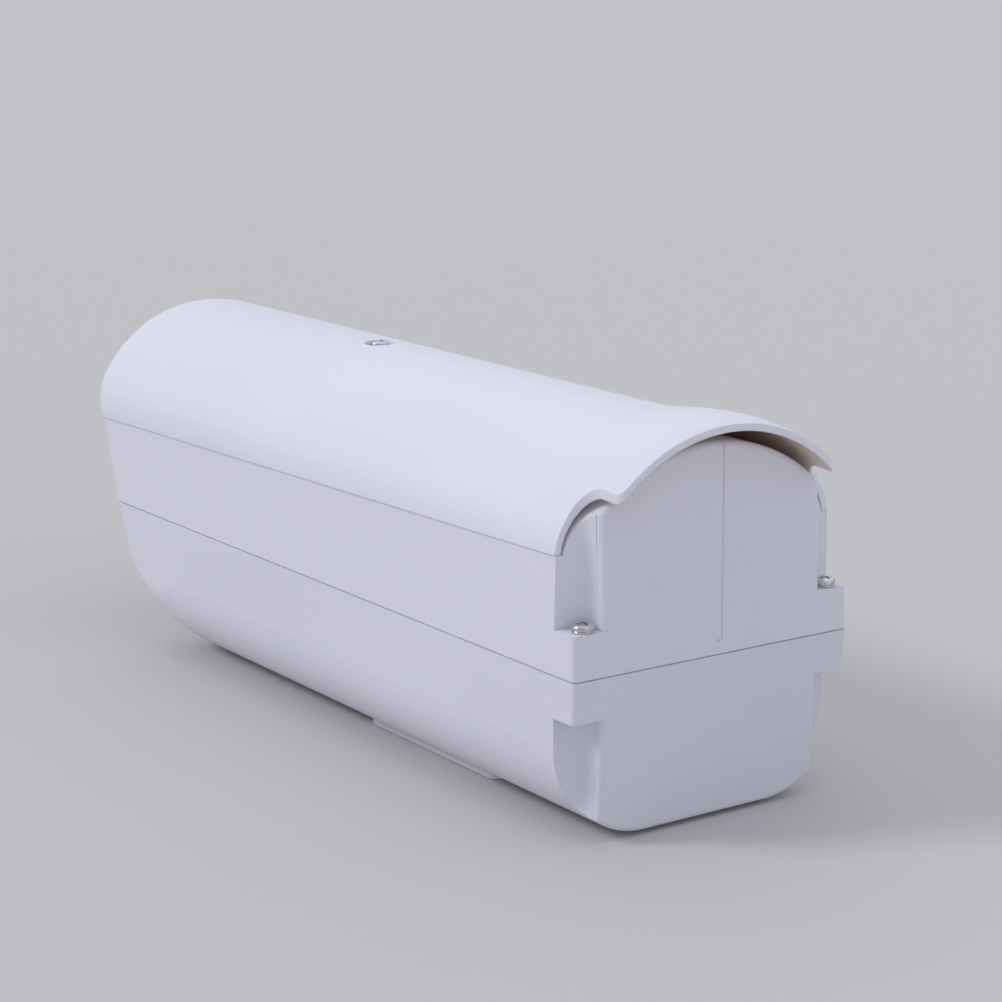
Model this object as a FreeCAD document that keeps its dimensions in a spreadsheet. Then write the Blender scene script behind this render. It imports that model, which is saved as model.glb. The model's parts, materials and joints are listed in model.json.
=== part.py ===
import FreeCAD, Part
import math
import os
import Sketcher

# Outdoor security camera housing: a moulded tub and a hinged cover with a sunshield.
# Millimetres. +X is across, -Y is the window end, +Z is up.
# The origin is the centre of the mounting pad's face, on the underside of the tub.

# Driving dimensions

SIZES = {
    # Main forms of the two shells
    "body_width": (126.0, "across the rims at the parting line"),
    "body_length": (339.0, "along the parting line, front tip to rear wall"),
    "rear_reach": (124.0, "from the centre of the mounting pad back to the rear wall"),
    "parting_height": (62.0, "parting line above the face of the mounting pad"),
    "wall": (3.0, "wall of the tub and the cover"),
    "rim_rake": (0.36, "how far the front rim leans out for each millimetre it rises"),
    "rear_edge": (2.0, "rounding round the rear wall and the screw blocks"),
    # Tub
    "tub_draft": (1.3, "how far each side of the tub comes in at its floor"),
    "tub_rear_lean": (2.8, "how far the tub's rear wall comes in at its floor"),
    "tub_corner": (34.0, "rounding along the floor"),
    "chin_corner": (10.5, "the same rounding where the chin turns up"),
    "rim_corner": (2.0, "the same rounding at the front rim"),
    "rim_straight": (19.2, "height of the straight front rim under the parting line"),
    "chin_run": (9.4, "chin slope, run"),
    "chin_rise": (32.2, "chin slope, rise"),
    "chin_radius": (38.0, "bend from the floor into the chin"),
    "mouth_bend": (4.0, "rounding of the tub's front opening"),
    # Mounting pad
    "pad_width": (79.0, "mounting pad across"),
    "pad_length": (89.0, "mounting pad along"),
    "pad_rise": (1.4, "how far the pad stands out of the floor"),
    "pad_root": (2.7, "how far the pad runs up into the floor"),
    "pad_corner": (5.0, "rounding of the pad's corners"),
    "pad_screw_across": (50.0, "bracket holes, spacing across"),
    "pad_screw_along": (64.0, "bracket holes, spacing along"),
    # Cover
    "cover_draft": (0.8, "how far each side of the cover comes in at its seat for the sunshield"),
    "cover_rear_lean": (4.0, "how far the cover's rear wall comes in at the crown"),
    "cover_shoulder": (24.0, "rounding of the cover's shoulders"),
    "cover_shoulder_drop": (2.5, "centre of that rounding under the sunshield's"),
    # Sunshield
    "shield_line": (39.5, "centre of the sunshield's shoulders above the parting line"),
    "edge_front": (36.5, "lower edge of the sunshield above the parting line, at the front tip"),
    "edge_rear": (42.8, "the same edge at the rear wall"),
    "shield_crown": (82.3, "top of the sunshield above the parting line"),
    "shield_inset": (0.2, "how far the sunshield's sides lie inside the rims"),
    "shield_shoulder": (25.0, "rounding of the sunshield's shoulders"),
    "shield_wall": (2.6, "wall of the sunshield"),
    "shield_air": (3.0, "air gap between the sunshield and the crown of the cover"),
    "shield_fit": (0.3, "clearance between the sunshield's edges and the cover"),
    "shield_overhang": (6.0, "how far the sunshield stands out behind the rear wall"),
    "flare_length": (62.0, "length of the rear flare of the sunshield"),
    "flare_rise": (4.2, "highest lift of the crown in the flare"),
    "flare_edge_rise": (2.3, "lift of the crown at the rear edge"),
    "notch_width": (14.2, "corner notch of the sunshield, across"),
    "notch_depth": (12.5, "corner notch of the sunshield, forward of the rear wall"),
    "notch_radius": (9.0, "rounding in the corner notch"),
    "notch_lip": (3.0, "rounding where the notch meets the rear edge"),
    "shield_screw_back": (119.0, "sunshield screw, behind the front tip"),
    "dimple_width": (13.0, "dimple round the sunshield screw"),
    "dimple_depth": (1.6, "depth of that dimple"),
    # Screw pockets in the rear corners
    "pocket_width": (13.0, "corner pocket, across"),
    "pocket_depth": (12.0, "corner pocket, forward of the rear wall"),
    "pocket_radius": (8.5, "hollow rounding in the pocket"),
    "pocket_lip": (2.6, "rounding of the pocket's rear edge"),
    "ledge_above": (16.4, "ledge under the cover screws above the parting line"),
    "block_below": (15.4, "height of the screw block under the parting line"),
    "screw_inset_side": (7.3, "cover screws, in from the side"),
    "screw_inset_rear": (5.0, "cover screws, forward of the rear wall"),
    # Rim flange and seal
    "flange_width": (4.0, "flange inside the rims"),
    "flange_height": (3.0, "height of each flange"),
    "seal_width": (2.0, "rim seal across"),
    "seal_depth": (1.6, "rim seal in its groove"),
    "seal_bend": (2.5, "bend of the rim seal at its corners"),
    "corner_margin": (7.0, "flange round the screw blocks"),
    "joint_gap": (0.35, "shadow gap along the parting line"),
    "joint_depth": (0.8, "depth of that shadow gap"),
    # Hinge at the front tip
    "pivot_radius": (1.6, "hinge pins moulded on the tub"),
    "pivot_gap": (0.08, "running clearance round the pins"),
    "ear_radius": (3.2, "ears that carry the pins"),
    "ear_thickness": (3.0, "thickness of those ears"),
    "ear_foot": (12.0, "how far the ears reach down and back"),
    "ear_drop": (1.0, "top of the ear's foot under the parting line"),
    "hook_wall": (2.0, "wall of the cover's hooks round the pins"),
    "hook_thickness": (4.5, "width of the hooks along the pins"),
    "side_gap": (0.3, "gap between ear and hook"),
    "cover_clear": (0.5, "clearance between the cover and what stands in the tub"),
    # Front panel and window
    "panel_setback": (27.0, "front face of the window panel behind the tip"),
    "panel_thickness": (4.0, "window panel"),
    "panel_fit": (0.3, "clearance of the panel in the tub"),
    "panel_lap": (3.0, "how far the cover's arch rib laps over the panel"),
    "rib_thickness": (2.0, "ribs that hold the panel"),
    "rib_height": (3.0, "height of those ribs"),
    "window_margin": (23.0, "from each side of the housing to the window opening"),
    "window_height": (60.0, "window opening, height"),
    "window_centre": (6.0, "centre of the window above the parting line"),
    "window_corner": (6.0, "rounding of the window opening"),
    "glass_margin": (5.0, "how far the glass laps behind the opening"),
    "glass_thickness": (3.0, "window glass"),
    "gasket_thickness": (1.5, "window gasket"),
    "gasket_setback": (1.0, "how far the gasket's opening stands back from the panel's"),
    "retainer_thickness": (2.5, "frame that holds the glass"),
    "post_radius": (3.5, "posts for the frame's screws"),
    "post_gap": (0.8, "gap between the glass and the posts"),
    # Camera sled
    "rail_height": (6.0, "rails and bosses on the floor of the tub"),
    "rail_thickness": (2.5, "rails under the sled"),
    "rail_spacing": (50.0, "spacing of the rails"),
    "sled_margin": (27.0, "from each side of the housing to the sled"),
    "sled_length": (216.0, "sled along"),
    "sled_front": (-142.0, "front edge of the sled"),
    "sled_sheet": (1.5, "sled sheet"),
    "sled_side": (10.0, "height of the sled's turned-up sides"),
    "sled_travel": (15.0, "travel of the sled each way"),
    "sled_screw_front": (8.0, "front sled screw along the housing"),
    "sled_screw_pitch": (48.0, "from the front sled screw to the rear one"),
    "camera_slot": (62.0, "length of the camera screw's slot"),
    "camera_screw_radius": (3.175, "shank of the camera screw"),
    "camera_place": (-98.0, "camera screw along the housing"),
    "camera_slot_gap": (0.4, "clearance of the camera screw in its slot"),
    "camera_thread": (5.2, "camera screw's thread above its clip"),
    "camera_lead": (0.6, "chamfer at the end of that thread"),
    "camera_neck": (2.6, "neck of the camera screw under its thread"),
    "camera_knob": (16.0, "knob of the camera screw across"),
    "camera_knob_height": (4.0, "height of that knob"),
    "camera_washer": (13.0, "washer of the camera screw across"),
    "camera_clip": (11.0, "clip that keeps the camera screw"),
    "slide_gap": (0.05, "running gap above and below the sled sheet"),
    "sled_bend": (1.5, "inside bend of the sled's sides"),
    "strap_hole": (4.0, "holes for cable straps in the sled"),
    "strap_hole_spacing": (36.0, "spacing of the strap holes across"),
    "strap_hole_pitch": (26.0, "spacing of the strap holes along"),
    # Screws and inserts
    "screw_radius": (1.6, "core of the M4 screws under their threads"),
    "screw_head": (8.0, "pan head of the M4 screws"),
    "screw_head_height": (3.0, "height of that head"),
    "screw_hole": (4.4, "hole for the M4 screws"),
    "insert_width": (5.6, "brass insert for the M4 screws"),
    "insert_bore": (4.1, "bore of that insert"),
    "insert_length": (8.0, "length of that insert"),
    "sled_insert_length": (5.5, "length of the inserts under the sled"),
    "blind_clearance": (2.0, "depth of the holes beyond the screws"),
    "washer_thickness": (0.8, "washers under the screw heads"),
    "thin_washer": (0.5, "washer under the sunshield screw"),
    "low_head_height": (2.4, "height of the sunshield screw's head"),
    "bracket_insert_width": (7.0, "brass insert for the M5 bracket screws"),
    "bracket_insert_bore": (5.0, "bore of the bracket inserts"),
    "bracket_insert_length": (8.0, "length of the bracket inserts"),
    "boss_wall": (2.5, "plastic round the inserts"),
    "small_screw": (1.2, "core of the M3 screws under their threads"),
    "small_head": (5.6, "head of the M3 screws"),
    "small_head_height": (2.0, "height of that head"),
    "small_clearance": (0.5, "clearance round and beyond the M3 screws"),
    "small_screw_depth": (7.0, "depth of the holes for the M3 screws"),
    # Cable entries
    "entry_width": (16.0, "cable entry holes in the floor"),
    "entry_spacing": (34.0, "spacing of the cable entries"),
    "entry_back": (30.0, "cable entries, forward of the rear wall"),
    "entry_bore": (7.0, "bore of the cable grommets"),
    "grommet_lip": (2.0, "lip of the grommets beyond the hole"),
    "grommet_flange": (1.1, "thickness of that lip"),
}


class Size:
    """A length that is kept both as a number and as an expression on the sheet."""

    def __init__(self, value, text):
        self.value = value
        self.text = text

    def joined(self, sign, other, value):
        return Size(value, "(%s %s %s)" % (self.text, sign, as_size(other).text))

    def __add__(self, other):
        return self.joined("+", other, self.value + as_size(other).value)

    def __sub__(self, other):
        return self.joined("-", other, self.value - as_size(other).value)

    def __mul__(self, other):
        return self.joined("*", other, self.value * as_size(other).value)

    def __truediv__(self, other):
        return self.joined("/", other, self.value / as_size(other).value)

    def __radd__(self, other):
        return as_size(other) + self

    def __rsub__(self, other):
        return as_size(other) - self

    def __rmul__(self, other):
        return as_size(other) * self

    def __neg__(self):
        return as_size(0.0) - self


def as_size(value):
    """Give a plain number the same form as a size."""
    if isinstance(value, Size):
        return value
    return Size(float(value), repr(float(value)))


def root(size):
    """Square root of a size."""
    return Size(math.sqrt(size.value), "sqrt(%s)" % size.text)


def size_of(name):
    """The named driving dimension."""
    return Size(SIZES[name][0], "Sizes." + name)


doc = FreeCAD.newDocument("camera_housing")
sheet = doc.addObject("Spreadsheet::Sheet", "Sizes")
for row, (alias, (number, meaning)) in enumerate(SIZES.items(), start=1):
    sheet.set("A%d" % row, meaning)
    sheet.set("B%d" % row, str(number))
    sheet.setAlias("B%d" % row, alias)
doc.recompute()

# Sketches and solids

TURNS = {
    "XY": FreeCAD.Rotation(),
    "XZ": FreeCAD.Rotation(FreeCAD.Vector(1, 0, 0), 90),
    "YZ": FreeCAD.Rotation(FreeCAD.Vector(1, 1, 1), 120),
}
NORMALS = {"XY": (0, 0, 1), "XZ": (0, -1, 0), "YZ": (1, 0, 0)}
OFFSET_AXIS = {"XY": ("z", 1), "XZ": ("y", -1), "YZ": ("x", 1)}


def corner(x, y, rounding=None):
    """A corner of an outline, sharp or rounded."""
    return {"x": as_size(x), "y": as_size(y), "rounding": rounding, "bow": None}


def arc_to(x, y, radius, side):
    """A corner that an arc leads to; side is 1 where the arc bulges to its right, else -1."""
    return {"x": as_size(x), "y": as_size(y), "rounding": None, "bow": (as_size(radius), side)}


def spot(point):
    return FreeCAD.Vector(point["x"].value, point["y"].value, 0)


def bow_centre(start, end, radius, side):
    """Centre of the arc from start to end."""
    chord = end - start
    half = chord.Length / 2
    reach = math.sqrt(max(radius * radius - half * half, 0.0))
    left = FreeCAD.Vector(-chord.y, chord.x, 0).normalize()
    return (start + end) / 2 + left * reach * side


def pin_point(sketch, index, position, point):
    """Fix a point of the sketch at its two distances from the sketch's origin."""
    for kind, size in (("DistanceX", point["x"]), ("DistanceY", point["y"])):
        number = sketch.addConstraint(Sketcher.Constraint(kind, -1, 1, index, position, size.value))
        sketch.setExpression("Constraints[%d]" % number, size.text)


def add_arc(sketch, centre, radius, start, end, left_turn):
    """Draw the arc from start to end and tell at which end of it the outline goes in and out."""
    circle = Part.Circle(centre, FreeCAD.Vector(0, 0, 1), radius)
    first, last = (start, end) if left_turn else (end, start)
    arc = Part.ArcOfCircle(circle, circle.parameter(first), circle.parameter(last))
    index = sketch.addGeometry(arc, False)
    return (index, 1, 2) if left_turn else (index, 2, 1)


def add_outline(sketch, corners):
    """Draw one closed outline with every size bound to the sheet."""
    count = len(corners)
    pieces = []
    trims = {}
    for place, point in enumerate(corners):
        if point["rounding"] is None:
            continue
        here = spot(point)
        before = (spot(corners[place - 1]) - here).normalize()
        after = (spot(corners[(place + 1) % count]) - here).normalize()
        half_angle = before.getAngle(after) / 2
        reach = point["rounding"].value / math.tan(half_angle)
        middle = here + (before + after).normalize() * (point["rounding"].value / math.sin(half_angle))
        turn_left = before.cross(after).z < 0
        trims[place] = (here + before * reach, here + after * reach, middle, turn_left)
    for place, point in enumerate(corners):
        previous = (place - 1) % count
        start = trims[previous][1] if previous in trims else spot(corners[previous])
        end = trims[place][0] if place in trims else spot(point)
        if point["bow"]:
            radius, side = point["bow"]
            centre = bow_centre(start, end, radius.value, side)
            piece = add_arc(sketch, centre, radius.value, start, end, side > 0)
            bend = sketch.addConstraint(Sketcher.Constraint("Radius", piece[0], radius.value))
            sketch.setExpression("Constraints[%d]" % bend, radius.text)
        else:
            piece = (sketch.addGeometry(Part.LineSegment(start, end), False), 1, 2)
        pieces.append((piece, place, False))
        if place in trims:
            first, last, middle, turn_left = trims[place]
            piece = add_arc(sketch, middle, point["rounding"].value, first, last, turn_left)
            pieces.append((piece, place, True))
    for number, (piece, place, is_round) in enumerate(pieces):
        following, _, next_round = pieces[(number + 1) % len(pieces)]
        joint = "Tangent" if is_round or next_round else "Coincident"
        sketch.addConstraint(Sketcher.Constraint(joint, piece[0], piece[2], following[0], following[1]))
        point = corners[place]
        if is_round:
            size = point["rounding"]
            bend = sketch.addConstraint(Sketcher.Constraint("Radius", piece[0], size.value))
            sketch.setExpression("Constraints[%d]" % bend, size.text)
            mark = sketch.addGeometry(Part.Point(spot(point)), True)
            pin_point(sketch, mark, 1, point)
            before = pieces[number - 1][0]
            sketch.addConstraint(Sketcher.Constraint("PointOnObject", mark, 1, before[0]))
            sketch.addConstraint(Sketcher.Constraint("PointOnObject", mark, 1, following[0]))
        elif not next_round:
            pin_point(sketch, piece[0], piece[2], point)


def add_circle(sketch, x, y, radius):
    """Draw a circle bound to the sheet."""
    point = corner(x, y)
    radius = as_size(radius)
    circle = Part.Circle(spot(point), FreeCAD.Vector(0, 0, 1), radius.value)
    index = sketch.addGeometry(circle, False)
    pin_point(sketch, index, 3, point)
    bend = sketch.addConstraint(Sketcher.Constraint("Radius", index, radius.value))
    sketch.setExpression("Constraints[%d]" % bend, radius.text)


def draw(sketch, outlines):
    """Fill a sketch: a list is a closed outline, a triple is a circle."""
    for outline in outlines:
        if isinstance(outline, tuple):
            add_circle(sketch, *outline)
        else:
            add_outline(sketch, outline)


def slab(name, plane, outlines, start, length):
    """Extrude outlines along the plane's normal, from start over length."""
    sketch = doc.addObject("Sketcher::SketchObject", name + "_outline")
    axis, sign = OFFSET_AXIS[plane]
    start = as_size(start)
    along = start.value * sign
    offset = FreeCAD.Vector(*[along if letter == axis else 0 for letter in "xyz"])
    sketch.Placement = FreeCAD.Placement(offset, TURNS[plane])
    sketch.setExpression("Placement.Base." + axis, start.text if sign > 0 else (-start).text)
    draw(sketch, outlines)
    solid = doc.addObject("Part::Extrusion", name)
    solid.Base = sketch
    solid.DirMode = "Custom"
    solid.Dir = FreeCAD.Vector(*NORMALS[plane])
    solid.Solid = True
    solid.setExpression("LengthFwd", as_size(length).text)
    return solid


def combine(kind, name, shapes):
    """Join or intersect several solids."""
    result = doc.addObject(kind, name)
    result.Shapes = shapes
    return result


def slab_up(name, outlines, low, high):
    """Extrude plan outlines from one height to another."""
    return slab(name, "XY", outlines, low, as_size(high) - low)


def slab_along(name, outlines, front, back):
    """Extrude section outlines from one place along the housing to another."""
    return slab(name, "XZ", outlines, -as_size(back), as_size(back) - front)


def slab_across(name, outlines, left, right):
    """Extrude side outlines from one place across the housing to another."""
    return slab(name, "YZ", outlines, left, as_size(right) - left)


def fuse(name, *shapes):
    """Join solids into one."""
    result = combine("Part::MultiFuse", name, list(shapes))
    result.Refine = True
    return result


def cut(name, base, tool):
    """Take one solid out of another."""
    result = doc.addObject("Part::Cut", name)
    result.Base = base
    result.Tool = tool
    return result


def place(solid, x=0, y=0, z=0):
    """Move an object, with its place bound to the sheet."""
    for letter, value in (("x", x), ("y", y), ("z", z)):
        solid.setExpression("Placement.Base." + letter, as_size(value).text)
    return solid


def cylinder(name, radius, height, x=0, y=0, z=0):
    """An upright cylinder that stands on z."""
    solid = doc.addObject("Part::Cylinder", name)
    solid.setExpression("Radius", as_size(radius).text)
    solid.setExpression("Height", as_size(height).text)
    return place(solid, x, y, z)


def block(name, low, high):
    """A box between two corners."""
    solid = doc.addObject("Part::Box", name)
    for letter, start, end in zip(("Length", "Width", "Height"), low, high):
        solid.setExpression(letter, (as_size(end) - start).text)
    return place(solid, *low)


def rectangle(left, bottom, right, top, rounding=None):
    """Outline of a rectangle."""
    return [corner(left, bottom, rounding), corner(right, bottom, rounding),
            corner(right, top, rounding), corner(left, top, rounding)]


def mirrored(outline):
    """The same outline on the other side of the middle plane."""
    flipped = []
    for place_now in range(len(outline)):
        point = outline[-place_now]
        following = outline[(-place_now + 1) % len(outline)]
        bow = following["bow"]
        flipped.append({"x": -point["x"], "y": point["y"], "rounding": point["rounding"], "bow": bow})
    return flipped


def rounded(name, base, choose):
    """Round the edges for which choose gives a pair of radii, one for each end."""
    doc.recompute()
    result = doc.addObject("Part::Fillet", name)
    result.Base = base
    chosen = []
    for number, edge in enumerate(base.Shape.Edges, start=1):
        radii = choose(edge)
        if radii:
            chosen.append((number, radii[0], radii[1]))
    result.Edges = chosen
    return result


body_width, body_length, rear = (size_of(name) for name in ("body_width", "body_length", "rear_reach"))
half = body_width / 2
tip = rear - body_length
parting = size_of("parting_height")
wall = size_of("wall")
rake = size_of("rim_rake")
underside = size_of("pad_rise")
floor = underside + wall
crown = parting + size_of("shield_crown")
BEYOND = 40.0
MARGIN = 1.0
LEAST_ROUNDING = 0.5
SLOT_SHARE = 2.02
STRAP_HOLES = 8
KNOB_FLUTES = 16

# Tub


def tub_form(name, inset):
    """The outer form of the tub, or the same form set in by an even amount."""
    inset = as_size(inset)
    low = underside + inset
    depth = parting - underside
    run, rise = size_of("chin_run"), size_of("chin_rise")
    slope = root(run * run + rise * rise)
    bend = size_of("chin_radius") - inset
    kink_y = tip + rake * size_of("rim_straight")
    kink_z = parting - size_of("rim_straight")
    line_y = kink_y + inset * slope / rise
    foot_y = line_y + (kink_z - low) * run / rise
    reach = bend * (slope - run) / rise
    start = [foot_y - reach * run / slope, low + reach * rise / slope]
    front = [corner(tip, parting), corner(kink_y, kink_z)]
    if inset.value > 0:
        front = [corner(line_y - size_of("rim_straight") * run / rise, parting)]
    side = front + [
        corner(*start),
        arc_to(foot_y + reach, low, bend, 1),
        corner(rear - size_of("tub_rear_lean") - inset, low),
        corner(rear - inset, parting),
    ]
    section = [
        corner(0, low),
        corner(half - size_of("tub_draft") - inset, low),
        corner(half - inset, parting),
        corner(0, parting),
    ]
    along = slab_across(name + "_side", [side], -half - BEYOND, half + BEYOND)
    across = slab_along(name + "_section", [section], tip - BEYOND, rear + BEYOND)
    form = combine("Part::MultiCommon", name + "_sharp", [along, across])

    floor_radius = size_of("tub_corner").value - inset.value
    chin_radius = size_of("chin_corner").value - inset.value
    rim_radius = max(size_of("rim_corner").value - inset.value, LEAST_ROUNDING)

    def radius_at(point):
        if point.y > foot_y.value:
            return floor_radius
        if abs(point.y - start[0].value) < 0.01:
            return chin_radius
        return rim_radius

    side_limit = (half - size_of("tub_draft") - inset).value - MARGIN
    rear_limit = (rear - size_of("tub_rear_lean") - inset).value - MARGIN

    def along_the_floor(edge):
        ends = [vertex.Point for vertex in edge.Vertexes]
        on_side = min(point.x for point in ends) > side_limit
        on_rear = min(point.y for point in ends) > rear_limit
        if not on_side or on_rear or min(point.z for point in ends) > kink_z.value - MARGIN:
            return None
        return radius_at(ends[0]), radius_at(ends[1])

    right = rounded(name + "_right", form, along_the_floor)
    left = doc.addObject("Part::Mirroring", name + "_left")
    left.Source = right
    left.Normal = FreeCAD.Vector(1, 0, 0)
    return fuse(name, right, left)


panel_front = tip + size_of("panel_setback")
panel_rear = panel_front + size_of("panel_thickness")
rib = size_of("rib_thickness")
flange_start = panel_rear + rib


def column(name, x, y, width, low, high):
    """An upright cylinder between two heights."""
    return cylinder(name, as_size(width) / 2, as_size(high) - low, x, y, low)


def block_loops(margin):
    """Plan outlines of the walls behind the two corner pockets."""
    edge = half - size_of("pocket_width") - margin
    front = rear - size_of("pocket_depth") - margin
    right = [
        corner(half + BEYOND, front),
        corner(half + BEYOND, rear + BEYOND),
        corner(edge, rear + BEYOND),
        corner(edge, front, size_of("pocket_radius") + margin),
    ]
    return [right, mirrored(right)]


def flange_outline():
    """Plan outline of the flange inside a rim, which widens round the screw blocks."""
    outer = half - wall / 2
    inner = half - wall - size_of("flange_width")
    beside = half - size_of("pocket_width") - wall - size_of("corner_margin")
    ahead = rear - size_of("pocket_depth") - wall - size_of("corner_margin")
    across = rear - wall - size_of("flange_width")
    right = [corner(inner, flange_start), corner(outer, flange_start), corner(outer, rear - wall / 2)]
    left = [corner(-outer, rear - wall / 2), corner(-outer, flange_start), corner(-inner, flange_start)]
    back = [corner(-inner, ahead), corner(-beside, ahead), corner(-beside, across)]
    front = [corner(beside, across), corner(beside, ahead), corner(inner, ahead)]
    return right + left + back + front


def seal_outline(clearance):
    """Plan outline of the rim seal, or of its groove."""
    reach = size_of("seal_width") / 2 + clearance
    bend = size_of("seal_bend")
    beside = half - wall - size_of("flange_width") / 2
    ahead = rear - size_of("pocket_depth") - wall - size_of("corner_margin") / 2
    inside = half - size_of("pocket_width") - wall - size_of("corner_margin") / 2
    across = rear - wall - size_of("flange_width") / 2
    wide, tight = bend + reach, bend - reach
    outer = [
        corner(beside + reach, flange_start),
        corner(beside + reach, ahead + reach, wide),
        corner(inside + reach, ahead + reach, tight),
        corner(inside + reach, across + reach, wide),
    ]
    inner = [
        corner(-inside + reach, across - reach, tight),
        corner(-inside + reach, ahead - reach, wide),
        corner(-beside + reach, ahead - reach, tight),
        corner(-beside + reach, flange_start),
    ]
    far = [corner(-point["x"], point["y"], point["rounding"]) for point in reversed(outer)]
    near = [corner(-point["x"], point["y"], point["rounding"]) for point in inner]
    return outer + far + inner[::-1] + near


def rear_edges(lean_at, inset=0.0):
    """Choose the edges to round on a rear wall: its outer edge and the corners of the screw blocks."""
    radius = size_of("rear_edge").value - inset
    pocket_edge = (half - size_of("pocket_width")).value

    def choose(edge):
        span = edge.LastParameter - edge.FirstParameter
        points = [edge.valueAt(edge.FirstParameter + span * share) for share in (0.0, 0.5, 1.0)]
        if any(abs(point.y - (lean_at(point.z) - inset)) > 0.05 for point in points):
            return None
        on_joint = all(abs(point.z - parting.value) < 0.01 for point in points)
        level = all(abs(point.z - points[0].z) < 0.01 for point in points)
        on_block = level and all(abs(point.x) > pocket_edge - 0.1 for point in points)
        in_pocket = all(abs(abs(point.x) - pocket_edge) < 0.1 for point in points)
        if on_joint or on_block or in_pocket:
            return None
        return radius, radius

    return choose


def trimmed(name, solid, low, high):
    """The part of a solid between two heights."""
    band = block(name + "_band", (-half - BEYOND, rear - BEYOND, low), (half + BEYOND, rear + BEYOND, high))
    return combine("Part::MultiCommon", name, [solid, band])


def lip_cutters(name, height, lean, up):
    """What rounds the rear edges of two corner pockets, along a rear wall that leans over a height."""
    radius = size_of("pocket_lip")
    edge = half - size_of("pocket_width")
    spare = wall / 2
    right = [
        corner(edge + spare, rear - radius),
        corner(edge + spare, rear + spare),
        corner(edge - radius, rear + spare),
        corner(edge - radius, rear),
        arc_to(edge, rear - radius, radius, -1),
    ]
    solid = slab(name, "XY", [right, mirrored(right)], parting, height * 2)
    slant = FreeCAD.Vector(0, -(lean / height).value, up)
    solid.Dir = slant
    solid.setExpression("LengthFwd", (height * 2 * slant.Length).text)
    return solid


# Lower shell

underlap = underside - BEYOND
screw_x = half - size_of("screw_inset_side")
screw_y = rear - size_of("screw_inset_rear")
rail_top = floor + size_of("rail_height")
bracket_places = [(side * size_of("pad_screw_across") / 2, end * size_of("pad_screw_along") / 2)
                  for end in (-1, 1) for side in (-1, 1)]
entry_places = [(side * size_of("entry_spacing") / 2, rear - size_of("entry_back")) for side in (-1, 1)]
sled_screw_places = [size_of("sled_screw_front"), size_of("sled_screw_front") + size_of("sled_screw_pitch")]


def tub_lean(z):
    share = (parting.value - z) / (parting.value - underside.value)
    return rear.value - size_of("tub_rear_lean").value * share


tub_raw = tub_form("tub_raw", 0)
tub_pockets = slab_up("tub_pockets", block_loops(as_size(0)), underlap, parting - size_of("block_below"))
tub_notched = cut("tub_notched", tub_raw, tub_pockets)
tub_rounded = rounded("tub_rounded", tub_notched, rear_edges(tub_lean))
tub_lips = lip_cutters("tub_lips", parting - underside, size_of("tub_rear_lean"), -1)
below_block = trimmed("tub_lip_cut", tub_lips, underlap, parting - size_of("block_below"))
tub_outer = cut("tub_outer", tub_rounded, below_block)
tub_inner = tub_form("tub_inner", wall)
tub_rib_inner = tub_form("tub_rib_inner", wall + size_of("rib_height"))

pad_across, pad_along = size_of("pad_width") / 2, size_of("pad_length") / 2
pad_outline = rectangle(-pad_across, -pad_along, pad_across, pad_along, size_of("pad_corner"))
pad = slab_up("pad", [pad_outline], 0, underside + size_of("pad_root"))
tub_blank = fuse("tub_blank", tub_outer, pad)

rib_block_front = block("rib_block_front", (-half, panel_front - rib, underlap),
                        (half, panel_front, parting))
rib_block_rear = block("rib_block_rear", (-half, panel_rear, underlap), (half, panel_rear + rib, parting))
rib_blocks = fuse("rib_blocks", rib_block_front, rib_block_rear)
panel_ribs = cut("panel_ribs", rib_blocks, tub_rib_inner)
tub_blocks = slab_up("tub_blocks", block_loops(wall), underlap, parting + wall)
tub_flange = slab_up("tub_flange", [flange_outline()], parting - size_of("flange_height"), parting)
sled_front = size_of("sled_front")
sled_back = sled_front + size_of("sled_length")
rail_half = size_of("rail_thickness") / 2
rails = []
for number, side in enumerate((-1, 1), start=1):
    rail_x = side * size_of("rail_spacing") / 2
    rails.append(block("rail_%d" % number, (rail_x - rail_half, sled_front, 0),
                       (rail_x + rail_half, sled_back, rail_top)))
bracket_boss = size_of("bracket_insert_width") + 2 * size_of("boss_wall")
screw_boss = size_of("insert_width") + 2 * size_of("boss_wall")
bosses = [column("bracket_boss_%d" % number, x, y, bracket_boss, 0, rail_top)
          for number, (x, y) in enumerate(bracket_places, start=1)]
bosses += [column("sled_boss_%d" % number, 0, y, screw_boss, 0, rail_top)
           for number, y in enumerate(sled_screw_places, start=1)]
mouth_floor = parting - size_of("rim_straight")
mouth_top = half - wall
mouth_low = mouth_top - size_of("tub_draft") * size_of("rim_straight") / (parting - underside)
mouth_back = tip + size_of("panel_setback") / 2
tub_mouth = slab_along("tub_mouth", [[
    corner(-mouth_low, mouth_floor, size_of("mouth_bend")),
    corner(mouth_low, mouth_floor, size_of("mouth_bend")),
    corner(mouth_top, parting),
    corner(-mouth_top, parting),
]], tip - BEYOND, mouth_back)
tub_fill = fuse("tub_fill", panel_ribs, tub_blocks, tub_flange, *rails, *bosses)
tub_cavity = cut("tub_cavity", fuse("tub_open", tub_inner, tub_mouth), tub_fill)
tub_hollow = cut("tub_hollow", tub_blank, tub_cavity)

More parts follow.
